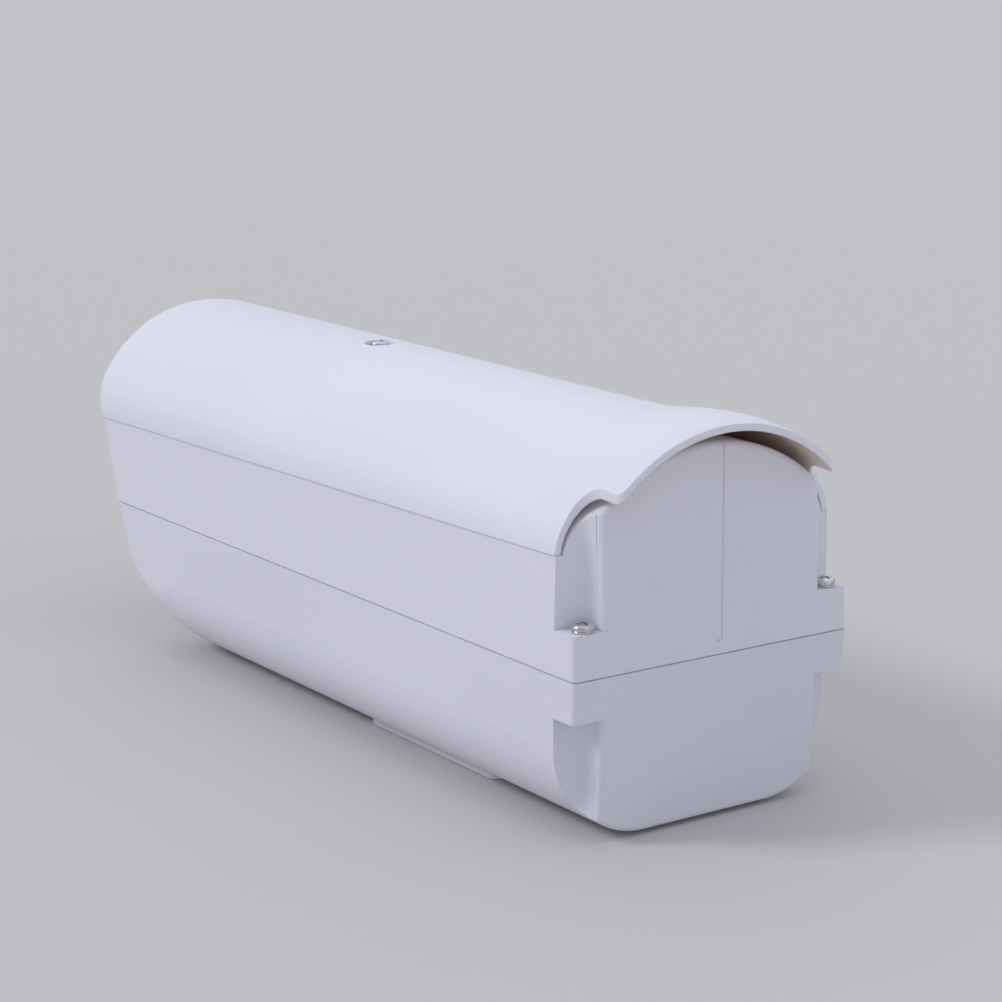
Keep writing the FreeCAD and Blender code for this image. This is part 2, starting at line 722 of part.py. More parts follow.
bracket_depth = size_of("bracket_insert_length")
insert_depth = size_of("insert_length")
sled_insert_depth = size_of("sled_insert_length")
clear = size_of("blind_clearance")
tub_holes = [column("bracket_hole_%d" % number, x, y, size_of("bracket_insert_width"), 0, bracket_depth)
             for number, (x, y) in enumerate(bracket_places, start=1)]
tub_holes += [column("sled_hole_%d" % number, 0, y, size_of("insert_width"),
                     rail_top - sled_insert_depth, rail_top)
              for number, y in enumerate(sled_screw_places, start=1)]
tub_holes += [column("cover_insert_hole_%d" % number, side * screw_x, screw_y, size_of("insert_width"),
                     parting - insert_depth, parting)
              for number, side in enumerate((-1, 1), start=1)]
tub_holes += [column("cover_screw_end_%d" % number, side * screw_x, screw_y, size_of("insert_bore"),
                     parting - insert_depth - clear, parting)
              for number, side in enumerate((-1, 1), start=1)]
tub_holes += [column("entry_%d" % number, x, y, size_of("entry_width"), underlap, floor + wall)
              for number, (x, y) in enumerate(entry_places, start=1)]
seal_groove = slab_up("seal_groove", [seal_outline(0)], parting - size_of("seal_depth"), parting)
tub_cuts = combine("Part::MultiFuse", "tub_cuts", tub_holes + [seal_groove])
tub_shell = cut("tub_shell", tub_hollow, tub_cuts)

ear_outer = half - wall - size_of("side_gap")
ear_inner = ear_outer - size_of("ear_thickness")
hook_outer = ear_inner - size_of("side_gap")
hook_inner = hook_outer - size_of("hook_thickness")
ear_radius = size_of("ear_radius")
ear_foot = size_of("ear_foot")


def across_cylinder(name, radius, left, right):
    """A cylinder along the hinge axis."""
    solid = doc.addObject("Part::Cylinder", name)
    solid.setExpression("Radius", as_size(radius).text)
    solid.setExpression("Height", (as_size(right) - left).text)
    solid.Placement = FreeCAD.Placement(FreeCAD.Vector(), FreeCAD.Rotation(FreeCAD.Vector(0, 1, 0), 90))
    return place(solid, left, tip, parting)


def both_sides(name, makers):
    """Make the pieces of one hinge side for +X and for -X; each maker takes a name and the X limits."""
    made = []
    for word, side in (("right", 1), ("left", -1)):
        for number, (maker, low, high) in enumerate(makers, start=1):
            limits = (low, high) if side > 0 else (-high, -low)
            made.append(maker("%s_%s_%d" % (name, word, number), *limits))
    return made


def ear_plate(name, left, right):
    return slab_across(name, [[
        corner(tip, parting),
        corner(tip + rake * ear_foot, parting - ear_foot),
        corner(tip + ear_foot, parting - ear_foot),
        corner(tip + ear_foot, parting - size_of("ear_drop")),
        corner(tip + ear_radius, parting - size_of("ear_drop"))
    ]], left, right)


def ear_root(name, left, right):
    return slab_across(name, [[
        corner(tip + rake * ear_foot + size_of("ear_drop"), parting - ear_foot),
        corner(tip + ear_foot, parting - ear_foot),
        corner(tip + ear_foot, parting - size_of("ear_drop")),
        corner(tip + rake * ear_foot + size_of("ear_drop"), parting - size_of("ear_drop"))
    ]], left, right)


def ear_disc(name, left, right):
    return across_cylinder(name, ear_radius, left, right)


def hinge_pin(name, left, right):
    return across_cylinder(name, size_of("pivot_radius"), left, right)


ears = both_sides("ear", [
    (ear_plate, ear_inner, ear_outer),
    (ear_root, ear_inner, half - wall / 2),
    (ear_disc, ear_inner, ear_outer),
    (hinge_pin, hook_inner - size_of("side_gap"), ear_inner + wall / 2),
])
lower_shell = fuse("lower_shell", tub_shell, *ears)

# Upper shell


def tangent_crown(top, outer_half, shoulder, centre_height):
    """Radius of the crown arc that meets the shoulder arcs smoothly and tops out at top."""
    reach = outer_half - shoulder
    rise = top - centre_height
    return (reach * reach + rise * rise - shoulder * shoulder) / (2 * (rise - shoulder))


def arch_points(top, outer_half, shoulder, centre_height, inset):
    """Where the crown arc meets the right shoulder arc, and both radii, after an even inset."""
    crown_radius = tangent_crown(top, outer_half, shoulder, centre_height)
    reach = outer_half - shoulder
    crown_centre = top - crown_radius
    share = (crown_radius - inset) / (crown_radius - shoulder)
    meet_x = reach * share
    meet_z = crown_centre + (centre_height - crown_centre) * share
    return meet_x, meet_z, crown_radius - inset, shoulder - inset


cover_top = parting + size_of("shield_crown") - size_of("shield_wall") - size_of("shield_air")
shield_half = half - size_of("shield_inset")
cover_arch_half = shield_half - size_of("shield_wall") - size_of("shield_fit")
cover_shoulder_z = parting + size_of("shield_line") - size_of("cover_shoulder_drop")
shield_line = parting + size_of("shield_line")
seat_low = parting + size_of("edge_front")
seat_high = parting + size_of("edge_rear")


def cover_arch(inset):
    """Outline of the cover's arch from the right shoulder to the left one, set in by an even amount."""
    meet_x, meet_z, crown_radius, shoulder_radius = arch_points(
        cover_top, cover_arch_half, size_of("cover_shoulder"), cover_shoulder_z, inset)
    arch_half = cover_arch_half - inset
    return [
        corner(arch_half, cover_shoulder_z),
        arc_to(meet_x, meet_z, shoulder_radius, 1),
        arc_to(-meet_x, meet_z, crown_radius, 1),
        arc_to(-arch_half, cover_shoulder_z, shoulder_radius, 1),
    ]


def cover_section(inset, foot):
    """Section of the cover's arch and sides, set in by an even amount, down to the height foot."""
    inset = as_size(inset)
    return [corner(-half + inset, foot), corner(half - inset, foot)] + cover_arch(inset)


def stepped_section(inset, foot):
    """The same section with the seat that the sunshield's edge stands on."""
    step_z = (seat_high if inset.value == 0 else seat_low) - inset
    drop = step_z - cover_shoulder_z
    shoulder = size_of("cover_shoulder")
    step_x = cover_arch_half - shoulder + root((shoulder - inset) * (shoulder - inset) - drop * drop)
    side_top = half - size_of("cover_draft") - inset
    outline = cover_section(inset, foot)
    right = [corner(side_top, step_z), corner(step_x, step_z)]
    left = arc_to(-step_x, step_z, shoulder - inset, 1)
    return outline[:2] + right + outline[3:5] + [left, corner(-side_top, step_z)]


def edge_slope_side(name, below):
    """What lies below or above the sunshield's sloping lower edge."""
    slope = (seat_high - seat_low) / body_length
    reach = 4 * BEYOND
    far = parting - BEYOND if below else cover_top + reach
    return slab_across(name, [[
        corner(tip - reach, seat_low - slope * reach),
        corner(tip - reach, far),
        corner(rear + reach, far),
        corner(rear + reach, seat_high + slope * reach),
    ]], -half - BEYOND, half + BEYOND)


def cover_form(name, inset, foot=None):
    """The outer form of the cover, or the same form set in by an even amount and open at the front."""
    inset = as_size(inset)
    foot = parting if foot is None else foot
    top = cover_top + BEYOND
    lean = size_of("cover_rear_lean") / (cover_top - parting)
    rear_foot = rear - inset - lean * (foot - parting)
    rear_top = rear - inset - lean * (top - parting)
    front_foot, front_top = tip - rake * (foot - parting), tip - rake * (top - parting)
    if inset.value > 0:
        front_foot = front_top = tip - rake * (top - parting) - BEYOND
    side = [corner(front_foot, foot), corner(rear_foot, foot), corner(rear_top, top)]
    side.append(corner(front_top, top))
    along = slab_across(name + "_side", [side], -half - BEYOND, half + BEYOND)
    across = slab_along(name + "_section", [stepped_section(inset, foot)], tip - 3 * BEYOND, rear + BEYOND)
    return combine("Part::MultiCommon", name, [along, across])


def cover_lean(z):
    share = (z - parting.value) / (cover_top.value - parting.value)
    return rear.value - size_of("cover_rear_lean").value * share


ledge = parting + size_of("ledge_above")
cover_high = cover_form("cover_high", 0)
arch_core = slab_along("arch_core", [cover_section(0, parting - BEYOND)],
                       tip - 4 * BEYOND, rear + 2 * BEYOND)
shield_seat_cut = cut("shield_seat_cut", edge_slope_side("above_seat", False), arch_core)
cover_raw = cut("cover_raw", cover_high, shield_seat_cut)
cover_pockets = slab_up("cover_pockets", block_loops(as_size(0)), ledge, cover_top + BEYOND)
cover_notched = cut("cover_notched", cover_raw, cover_pockets)
cover_rounded = rounded("cover_rounded", cover_notched, rear_edges(cover_lean))
cover_lips = lip_cutters("cover_lips", cover_top - parting, size_of("cover_rear_lean"), 1)
above_ledge = trimmed("cover_lip_cut", cover_lips, ledge, cover_top + BEYOND)
cover_outer = cut("cover_outer", cover_rounded, above_ledge)
cover_inner = cover_form("cover_inner", wall)
crown_pad = column("crown_pad", 0, tip + size_of("shield_screw_back"),
                   size_of("dimple_width") + 2 * size_of("shield_wall"), cover_top - wall, cover_top)
cover_blank = fuse("cover_blank", cover_outer, crown_pad)

rib_inset = wall + size_of("flange_width") + size_of("cover_clear")
rib_back = panel_front - size_of("cover_clear")
arch_rib_outer = block("arch_rib_outer", (-half, rib_back - rib, parting), (half, rib_back, cover_top))
arch_rib_window = slab_along("arch_rib_window", [cover_section(rib_inset + size_of("panel_lap"), underlap)],
                             rib_back - BEYOND, rib_back + BEYOND)
arch_rib = cut("arch_rib", arch_rib_outer, arch_rib_window)
cover_blocks = slab_up("cover_blocks", block_loops(wall), parting - wall, cover_top + BEYOND)
cover_flange = slab_up("cover_flange", [flange_outline()], parting, parting + size_of("flange_height"))
crown_boss = column("crown_boss", 0, tip + size_of("shield_screw_back"), screw_boss,
                    cover_top - insert_depth - wall, cover_top)
cover_fill = fuse("cover_fill", arch_rib, cover_blocks, cover_flange, crown_boss)
cover_cavity = cut("cover_cavity", cover_inner, cover_fill)
cover_hollow = cut("cover_hollow", cover_blank, cover_cavity)

gap_core = rounded("gap_core", cover_form("gap_core_sharp", size_of("joint_depth")),
                   rear_edges(cover_lean, size_of("joint_depth").value))
gap_band = block("gap_band", (-half - wall, tip - BEYOND, parting),
                 (half + wall, rear + wall, parting + size_of("joint_gap")))
joint_gap = cut("joint_gap", gap_band, gap_core)
cover_holes = [column("cover_hole_%d" % number, side * screw_x, screw_y, size_of("screw_hole"),
                      parting - wall, ledge + wall)
               for number, side in enumerate((-1, 1), start=1)]
cover_holes.append(column("crown_hole", 0, tip + size_of("shield_screw_back"), size_of("insert_width"),
                          cover_top - insert_depth, cover_top + wall))
cover_cuts = combine("Part::MultiFuse", "cover_cuts", [joint_gap] + cover_holes)
cover_shell = cut("cover_shell", cover_hollow, cover_cuts)

hook_radius = size_of("pivot_radius") + size_of("pivot_gap") + size_of("hook_wall")
web_low = ear_radius + size_of("cover_clear")


def hook_ring(name, left, right):
    return across_cylinder(name, hook_radius, left, right)


def hook_neck(name, left, right):
    return block(name, (left, tip, parting), (right, tip + 2 * hook_radius, parting + 2 * hook_radius))


def hook_web(name, left, right):
    return block(name, (left, tip + size_of("hook_wall") / 2, parting + web_low),
                 (right, tip + 2 * hook_radius, parting + 2 * hook_radius))


def hook_bore(name, left, right):
    return across_cylinder(name, size_of("pivot_radius") + size_of("pivot_gap"), left, right)


def hook_mouth(name, left, right):
    reach = size_of("pivot_radius") + size_of("pivot_gap")
    return block(name, (left, tip - 2 * hook_radius, parting - reach), (right, tip, parting + reach))


hooks = both_sides("hook", [
    (hook_ring, hook_inner, hook_outer),
    (hook_neck, hook_inner, hook_outer),
    (hook_web, hook_inner, half - wall / 2),
])
hook_cuts = both_sides("hook_cut", [
    (hook_bore, hook_inner - wall, hook_outer + size_of("side_gap") / 2),
    (hook_mouth, hook_inner - wall, hook_outer + size_of("side_gap") / 2),
])
cover_hooked = fuse("cover_hooked", cover_shell, *hooks)
upper_shell = cut("upper_shell", cover_hooked, combine("Part::MultiFuse", "hook_openings", hook_cuts))

# Sunshield


def shield_section(lift):
    """Section of the sunshield with its crown lifted."""
    shoulder = size_of("shield_shoulder")
    top = crown + lift
    outer_x, outer_z, outer_crown, outer_shoulder = arch_points(
        top, shield_half, shoulder, shield_line, as_size(0))
    inner_x, inner_z, inner_crown, inner_shoulder = arch_points(
        top, shield_half, shoulder, shield_line, size_of("shield_wall"))
    inner_half = shield_half - size_of("shield_wall")
    foot = seat_low - wall
    return [
        corner(shield_half, foot),
        corner(shield_half, shield_line),
        arc_to(outer_x, outer_z, outer_shoulder, 1),
        arc_to(-outer_x, outer_z, outer_crown, 1),
        arc_to(-shield_half, shield_line, outer_shoulder, 1),
        corner(-shield_half, foot),
        corner(-inner_half, foot),
        corner(-inner_half, shield_line),
        arc_to(-inner_x, inner_z, inner_shoulder, -1),
        arc_to(inner_x, inner_z, inner_crown, -1),
        arc_to(inner_half, shield_line, inner_shoulder, -1),
        corner(inner_half, foot),
    ]


FLARE_STEPS = ((0.0, 0.0), (0.18, 0.06), (0.4, 0.38), (0.6, 0.78), (0.78, 0.97), (0.9, 1.0))

flare_start = rear - size_of("flare_length")
shield_end = rear + size_of("shield_overhang")
shield_straight = slab_along("shield_straight", [shield_section(as_size(0))], tip - 2 * BEYOND, flare_start)
flare_sections = []
flare_places = [(flare_start + size_of("flare_length") * along, size_of("flare_rise") * share)
                for along, share in FLARE_STEPS] + [(shield_end, size_of("flare_edge_rise"))]
for number, (along, lift) in enumerate(flare_places, start=1):
    section = doc.addObject("Sketcher::SketchObject", "flare_section_%d" % number)
    section.Placement = FreeCAD.Placement(FreeCAD.Vector(0, along.value, 0), TURNS["XZ"])
    section.setExpression("Placement.Base.y", along.text)
    draw(section, [shield_section(lift)])
    flare_sections.append(section)
shield_flare = doc.addObject("Part::Loft", "shield_flare")
shield_flare.Sections = flare_sections
shield_flare.Solid = True

shield_screw_y = tip + size_of("shield_screw_back")
dimple = size_of("dimple_width")
shield_seat = column("shield_seat", 0, shield_screw_y, dimple + 2 * size_of("shield_wall"), cover_top,
                     crown - size_of("shield_wall") / 2)
shield_blank = fuse("shield_blank", shield_straight, shield_flare, shield_seat)

rise_high = crown + BEYOND
shield_rim = slab_across("shield_rim", [[
    corner(tip + rake * BEYOND, parting - BEYOND),
    corner(tip - rake * (rise_high - parting), rise_high),
    corner(tip - 4 * BEYOND, rise_high),
    corner(tip - 4 * BEYOND, parting - BEYOND),
]], -half - BEYOND, half + BEYOND)
shield_low_side = edge_slope_side("below_shield", True)


def notch_loops():
    """Plan outlines of the notches in the sunshield's rear corners."""
    edge = half - size_of("notch_width")
    front = rear - size_of("notch_depth")
    lip = size_of("notch_lip")
    right = [
        corner(half + BEYOND, front),
        corner(half + BEYOND, rear + BEYOND),
        corner(edge - lip, rear + BEYOND),
        corner(edge - lip, shield_end),
        arc_to(edge, shield_end - lip, lip, -1),
        corner(edge, front, size_of("notch_radius")),
    ]
    return [right, mirrored(right)]


shield_notches = slab_up("shield_notches", notch_loops(), parting, rise_high)
dimple_floor = crown - size_of("dimple_depth")
shield_dimple = column("shield_dimple", 0, shield_screw_y, dimple, dimple_floor, rise_high)
shield_hole = column("shield_hole", 0, shield_screw_y, size_of("screw_hole"), parting, rise_high)
shield_cuts = combine("Part::MultiFuse", "shield_cuts",
                      [shield_rim, shield_low_side, shield_notches, shield_dimple, shield_hole])
sunshield = cut("sunshield", shield_blank, shield_cuts)

# Rim seal

cover_seal = slab_up("cover_seal", [seal_outline(0)], parting - size_of("seal_depth"), parting)

# Window

window_z = parting + size_of("window_centre")
window_half = half - size_of("window_margin")
window_tall = size_of("window_height") / 2
lap = size_of("glass_margin")
glass_half, glass_tall = window_half + lap, window_tall + lap
post = size_of("post_radius")
post_x = glass_half + size_of("post_gap") + post
post_z = window_tall - post
gasket_back = panel_rear + size_of("gasket_thickness")
glass_back = gasket_back + size_of("glass_thickness")
retainer_back = glass_back + size_of("retainer_thickness")


def upright_rectangle(half_x, half_z, rounding):
    """A rounded rectangle round the middle of the window."""
    return rectangle(-half_x, window_z - half_z, half_x, window_z + half_z, rounding)


def post_circles(radius):
    """A circle at each of the four posts."""
    return [(side * post_x, window_z + level * post_z, radius) for level in (-1, 1) for side in (-1, 1)]


window_hole = upright_rectangle(window_half, window_tall, size_of("window_corner"))
panel_box = block("panel_box", (-half, panel_front, 0), (half, panel_rear, parting))
panel_tub = tub_form("panel_tub", wall + size_of("panel_fit"))
panel_foot = combine("Part::MultiCommon", "panel_foot", [panel_tub, panel_box])
panel_arch = slab_along("panel_arch", [cover_section(rib_inset, parting)], panel_front, panel_rear)
panel_posts = slab_along("panel_posts", post_circles(post), panel_rear - wall / 2, glass_back)
panel_blank = fuse("panel_blank", panel_foot, panel_arch, panel_posts)
panel_window = slab_along("panel_window", [window_hole], panel_front - wall, panel_rear + wall)
panel_pilots = slab_along("panel_pilots", post_circles(size_of("small_screw")),
                          glass_back - size_of("small_screw_depth"), glass_back)
front_panel = cut("front_panel", panel_blank, fuse("panel_cuts", panel_window, panel_pilots))


def part_body(name):
    """An empty body for one piece."""
    return doc.addObject("PartDesign::Body", name)


def body_sketch(body, name, plane, outlines, offset=0):
    """A sketch on one of the body's own planes, at an offset along its normal."""
    sketch = body.newObject("Sketcher::SketchObject", name)
    features = body.Origin.OriginFeatures
    sketch.AttachmentSupport = [(next(item for item in features if item.Role == plane + "_Plane"), "")]
    sketch.MapMode = "FlatFace"
    sketch.setExpression("AttachmentOffset.Base.z", as_size(offset).text)
    draw(sketch, outlines)
    return sketch


def pad_up(body, name, plane, outlines, length, offset=0):
    """Pad outlines from a plane of the body."""
    feature = body.newObject("PartDesign::Pad", name)
    feature.Profile = body_sketch(body, name + "_sketch", plane, outlines, offset)
    feature.setExpression("Length", as_size(length).text)
    body.Tip = feature
    return feature


def pocket_through(body, name, plane, outlines):
    """Cut outlines through the whole body, both ways from a plane of the body."""
    feature = body.newObject("PartDesign::Pocket", name)
    feature.Profile = body_sketch(body, name + "_sketch", plane, outlines)
    feature.Type = "ThroughAll"
    feature.Midplane = True
    body.Tip = feature
    return feature


def turned(body, name, outline):
    """Revolve a half outline of radius and height round the body's upright axis."""
    sketch = body_sketch(body, name + "_sketch", "XZ", [outline])
    feature = body.newObject("PartDesign::Revolution", name)
    feature.Profile = sketch
    feature.ReferenceAxis = (sketch, ["V_Axis"])
    feature.Angle = 360
    body.Tip = feature
    return feature


def upright_plate(name, outline, holes, front, back):
    """A flat upright plate with holes through it."""
    body = part_body(name)
    pad_up(body, name + "_plate", "XZ", [outline], as_size(back) - front)
    if holes:
        pocket_through(body, name + "_opening", "XZ", holes)
    place(body, 0, back, 0)
    return body


glass_corner = size_of("window_corner") + lap / 2
gasket_half, gasket_tall = window_half + size_of("gasket_setback"), window_tall + size_of("gasket_setback")
glass_outline = upright_rectangle(glass_half, glass_tall, glass_corner)
gasket_hole = upright_rectangle(gasket_half, gasket_tall, size_of("window_corner"))
retainer_outline = upright_rectangle(post_x + post, glass_tall, glass_corner)
retainer_holes = post_circles(size_of("small_screw") + size_of("small_clearance"))
window_gasket = upright_plate("window_gasket", glass_outline, [gasket_hole], panel_rear, gasket_back)
window_glass = upright_plate("window_glass", glass_outline, [], gasket_back, glass_back)
window_retainer = upright_plate("window_retainer", retainer_outline, [window_hole] + retainer_holes,
                                glass_back, retainer_back)

# Turned pieces


# A pan head for each millimetre of its own radius and height
HEAD_DOME = 1.6
HEAD_RIM = 0.45
HEAD_FLAT = 0.62
CROSS_ARM = 0.55
CROSS_HALF = 0.13
CROSS_DEPTH = 0.6
TIP_FLAT = 0.7
TIP_CHAMFER = 0.6
# An insert's relief groove for each millimetre of its wall and height
GROOVE_DEPTH = 0.35
GROOVE_EDGES = (0.42, 0.46, 0.54, 0.58)


def pan_screw(name, core, head_width, head_height, length):
    """A pan-head screw that hangs down from its seat at the origin, with a cross recess."""
    body = part_body(name)
    head = head_width / 2
    turned(body, name + "_profile", [
        corner(0, -length),
        corner(core * TIP_FLAT, -length),
        corner(core, -length + core * TIP_CHAMFER),
        corner(core, 0),
        corner(head, 0),
        corner(head, head_height * HEAD_RIM),
        arc_to(head * HEAD_FLAT, head_height, head_height * HEAD_DOME, 1),
        corner(0, head_height),
    ])
    arm, thin = head * CROSS_ARM, head * CROSS_HALF
    cross = []
    for ahead, aside in ((1, -1), (1, 1), (-1, 1), (-1, -1)):
        if ahead == -aside:
            cross += [corner(ahead * arm, aside * thin), corner(ahead * arm, -aside * thin)]
            cross.append(corner(ahead * thin, -aside * thin))
        else:
            cross += [corner(ahead * thin, aside * arm), corner(-ahead * thin, aside * arm)]
            cross.append(corner(-ahead * thin, aside * thin))
    recess = body.newObject("PartDesign::Pocket", name + "_recess")
    recess.Profile = body_sketch(body, name + "_recess_sketch", "XY", [cross], head_height)
    recess.setExpression("Length", (head_height * CROSS_DEPTH).text)
    body.Tip = recess
    return body


def ring(name, bore, width, height):
    """A washer or a plain insert that stands on the origin."""
    body = part_body(name)
    turned(body, name + "_profile", rectangle(bore / 2, 0, width / 2, height))
    return body


def knurled_insert(name, bore, width, height):
    """A brass insert with a relief groove round its middle."""
    body = part_body(name)
    outer, inner = width / 2, bore / 2
    waist = outer - (outer - inner) * GROOVE_DEPTH
    low, deep, shallow, high = (height * share for share in GROOVE_EDGES)
    turned(body, name + "_profile", [
        corner(inner, 0),
        corner(outer, 0),
        corner(outer, low),
        corner(waist, deep),
        corner(waist, shallow),
        corner(outer, high),
        corner(outer, height),
        corner(inner, height),
    ])
    return body


screw_core = size_of("screw_radius")
head_width, head_height = size_of("screw_head"), size_of("screw_head_height")
washer = size_of("washer_thickness")
washer_bore = size_of("screw_hole")
insert_bore, insert_width = size_of("insert_bore"), size_of("insert_width")
pieces = []

for word, side in (("left", -1), ("right", 1)):
    cover_insert = knurled_insert("cover_insert_" + word, insert_bore, insert_width, insert_depth)
    place(cover_insert, side * screw_x, screw_y, parting - insert_depth)
    cover_washer = ring("cover_washer_" + word, washer_bore, head_width, washer)
    place(cover_washer, side * screw_x, screw_y, ledge)
    cover_screw = pan_screw("cover_screw_" + word, screw_core, head_width, head_height,
                            size_of("ledge_above") + washer + insert_depth)
    place(cover_screw, side * screw_x, screw_y, ledge + washer)
    pieces += [cover_insert, cover_washer, cover_screw]

for number, (x, y) in enumerate(bracket_places, start=1):
    bracket_insert = knurled_insert("bracket_insert_%d" % number, size_of("bracket_insert_bore"),
                                    size_of("bracket_insert_width"), bracket_depth)
    place(bracket_insert, x, y, 0)
    pieces.append(bracket_insert)

sled_top = rail_top + size_of("sled_sheet")
slide = size_of("slide_gap")
for word, y in zip(("front", "rear"), sled_screw_places):
    sled_insert = knurled_insert("sled_insert_" + word, insert_bore, insert_width, sled_insert_depth)
    place(sled_insert, 0, y, rail_top - sled_insert_depth)
    sled_washer = ring("sled_washer_" + word, washer_bore, head_width + wall, washer)
    place(sled_washer, 0, y, sled_top + slide)
    sled_screw = pan_screw("sled_screw_" + word, screw_core, head_width, head_height,
                           washer + slide + size_of("sled_sheet") + sled_insert_depth)
    place(sled_screw, 0, y, sled_top + slide + washer)
    pieces += [sled_insert, sled_washer, sled_screw]

shield_insert = knurled_insert("sunshield_insert", insert_bore, insert_width, insert_depth)
place(shield_insert, 0, shield_screw_y, cover_top - insert_depth)
shield_washer = ring("sunshield_washer", washer_bore, head_width + wall / 2, size_of("thin_washer"))
place(shield_washer, 0, shield_screw_y, dimple_floor)
shield_screw = pan_screw("sunshield_screw", screw_core, head_width, size_of("low_head_height"),
                         dimple_floor + size_of("thin_washer") - cover_top + insert_depth)
place(shield_screw, 0, shield_screw_y, dimple_floor + size_of("thin_washer"))
pieces += [shield_insert, shield_washer, shield_screw]

small_reach = size_of("retainer_thickness") + size_of("small_screw_depth") - size_of("small_clearance")
facing_back = FreeCAD.Rotation(FreeCAD.Vector(1, 0, 0), -90)
for number, (side, level) in enumerate([(-1, -1), (1, -1), (-1, 1), (1, 1)], start=1):
    retainer_screw = pan_screw("retainer_screw_%d" % number, size_of("small_screw"), size_of("small_head"),
                               size_of("small_head_height"), small_reach)
    retainer_screw.Placement = FreeCAD.Placement(FreeCAD.Vector(), facing_back)
    place(retainer_screw, side * post_x, retainer_back, window_z + level * post_z)
    pieces.append(retainer_screw)

entry, bore = size_of("entry_width") / 2, size_of("entry_bore") / 2
lip, lip_thick = size_of("grommet_lip"), size_of("grommet_flange")
for word, (x, y) in zip(("left", "right"), entry_places):
    grommet = part_body("cable_grommet_" + word)
    turned(grommet, "grommet_profile_" + word, [
        corner(bore, -lip_thick),
        corner(entry + lip, -lip_thick),
        corner(entry + lip, 0),
        corner(entry, 0),
        corner(entry, wall),
        corner(entry + lip, wall),
        corner(entry + lip / 2, wall + lip_thick),
        corner(bore, wall + lip_thick),
    ])
    place(grommet, x, y, underside)
    pieces.append(grommet)

# Camera sled

sheet_metal = size_of("sled_sheet")
sled_half = half - size_of("sled_margin")
sled_high = rail_top + size_of("sled_side")
sled_bend = size_of("sled_bend")
camera_sled = part_body("camera_sled")
pad_up(camera_sled, "sled_channel", "XZ", [[
    corner(-sled_half, rail_top, sled_bend + sheet_metal),
    corner(sled_half, rail_top, sled_bend + sheet_metal),
    corner(sled_half, sled_high),
    corner(sled_half - sheet_metal, sled_high),
    corner(sled_half - sheet_metal, sled_top, sled_bend),
    corner(-sled_half + sheet_metal, sled_top, sled_bend),
    corner(-sled_half + sheet_metal, sled_high),
    corner(-sled_half, sled_high),
]], size_of("sled_length"), -sled_back)


slot_width = size_of("screw_hole")
slot_half = slot_width / 2
slot_reach = size_of("sled_travel") + slot_half + slide
slot_end = slot_width / SLOT_SHARE
sled_slots = [rectangle(-slot_half, y - slot_reach, slot_half, y + slot_reach, slot_end)
              for y in sled_screw_places]
camera_width = 2 * size_of("camera_screw_radius") + size_of("camera_slot_gap")
camera_place = size_of("camera_place")
camera_reach = size_of("camera_slot") / 2
sled_slots.append(rectangle(-camera_width / 2, camera_place - camera_reach, camera_width / 2,
                            camera_place + camera_reach, camera_width / SLOT_SHARE))
pocket_through(camera_sled, "sled_slots", "XY", sled_slots)
first_hole = [(side * size_of("strap_hole_spacing") / 2, sled_front + size_of("strap_hole_pitch") / 2,
               size_of("strap_hole") / 2) for side in (-1, 1)]
holes = pocket_through(camera_sled, "strap_holes", "XY", first_hole)
doc.recompute()
rows = camera_sled.newObject("PartDesign::LinearPattern", "strap_hole_rows")
rows.Originals = [holes]
rows.Direction = (next(item for item in camera_sled.Origin.OriginFeatures if item.Role == "Y_Axis"), [""])
rows.setExpression("Length", (size_of("strap_hole_pitch") * (STRAP_HOLES - 1)).text)
rows.Occurrences = STRAP_HOLES
camera_sled.Tip = rows

# Camera screw

camera_radius = size_of("camera_screw_radius")
knob = size_of("camera_knob")
knob_height = size_of("camera_knob_height")
camera_screw = part_body("camera_screw")
neck = size_of("camera_neck")
neck_top = knob_height + 2 * (washer + slide) + sheet_metal
thread_top = neck_top + size_of("camera_thread")
turned(camera_screw, "camera_screw_profile", [
    corner(0, 0),
    corner(knob / 2, 0),
    corner(knob / 2, knob_height),
    corner(neck, knob_height),
    corner(neck, neck_top),
    corner(camera_radius, neck_top),
    corner(camera_radius, thread_top - size_of("camera_lead")),
    corner(camera_radius - size_of("camera_lead"), thread_top),
    corner(0, thread_top),
])
doc.recompute()
flute = pocket_through(camera_screw, "knob_flute", "XY", [(knob / 2 + knob / 24, 0, knob / 14)])
flute.Type = "Length"
flute.Midplane = False
flute.Reversed = True
flute.setExpression("Length", knob_height.text)
doc.recompute()
flutes = camera_screw.newObject("PartDesign::PolarPattern", "knob_flutes")
flutes.Originals = [flute]
flutes.Axis = (next(item for item in camera_screw.Origin.OriginFeatures if item.Role == "Z_Axis"), [""])
flutes.Angle = 360
flutes.Occurrences = KNOB_FLUTES
camera_screw.Tip = flutes
camera_seat = rail_top - slide
place(camera_screw, 0, camera_place, camera_seat - washer - knob_height)
camera_washer = ring("camera_screw_washer", 2 * camera_radius, size_of("camera_washer"), washer)
place(camera_washer, 0, camera_place, camera_seat - washer)
camera_clip = ring("camera_screw_clip", 2 * neck, size_of("camera_clip"), washer)
place(camera_clip, 0, camera_place, sled_top + slide)
pieces += [camera_sled, camera_screw, camera_washer, camera_clip]

# Check and export

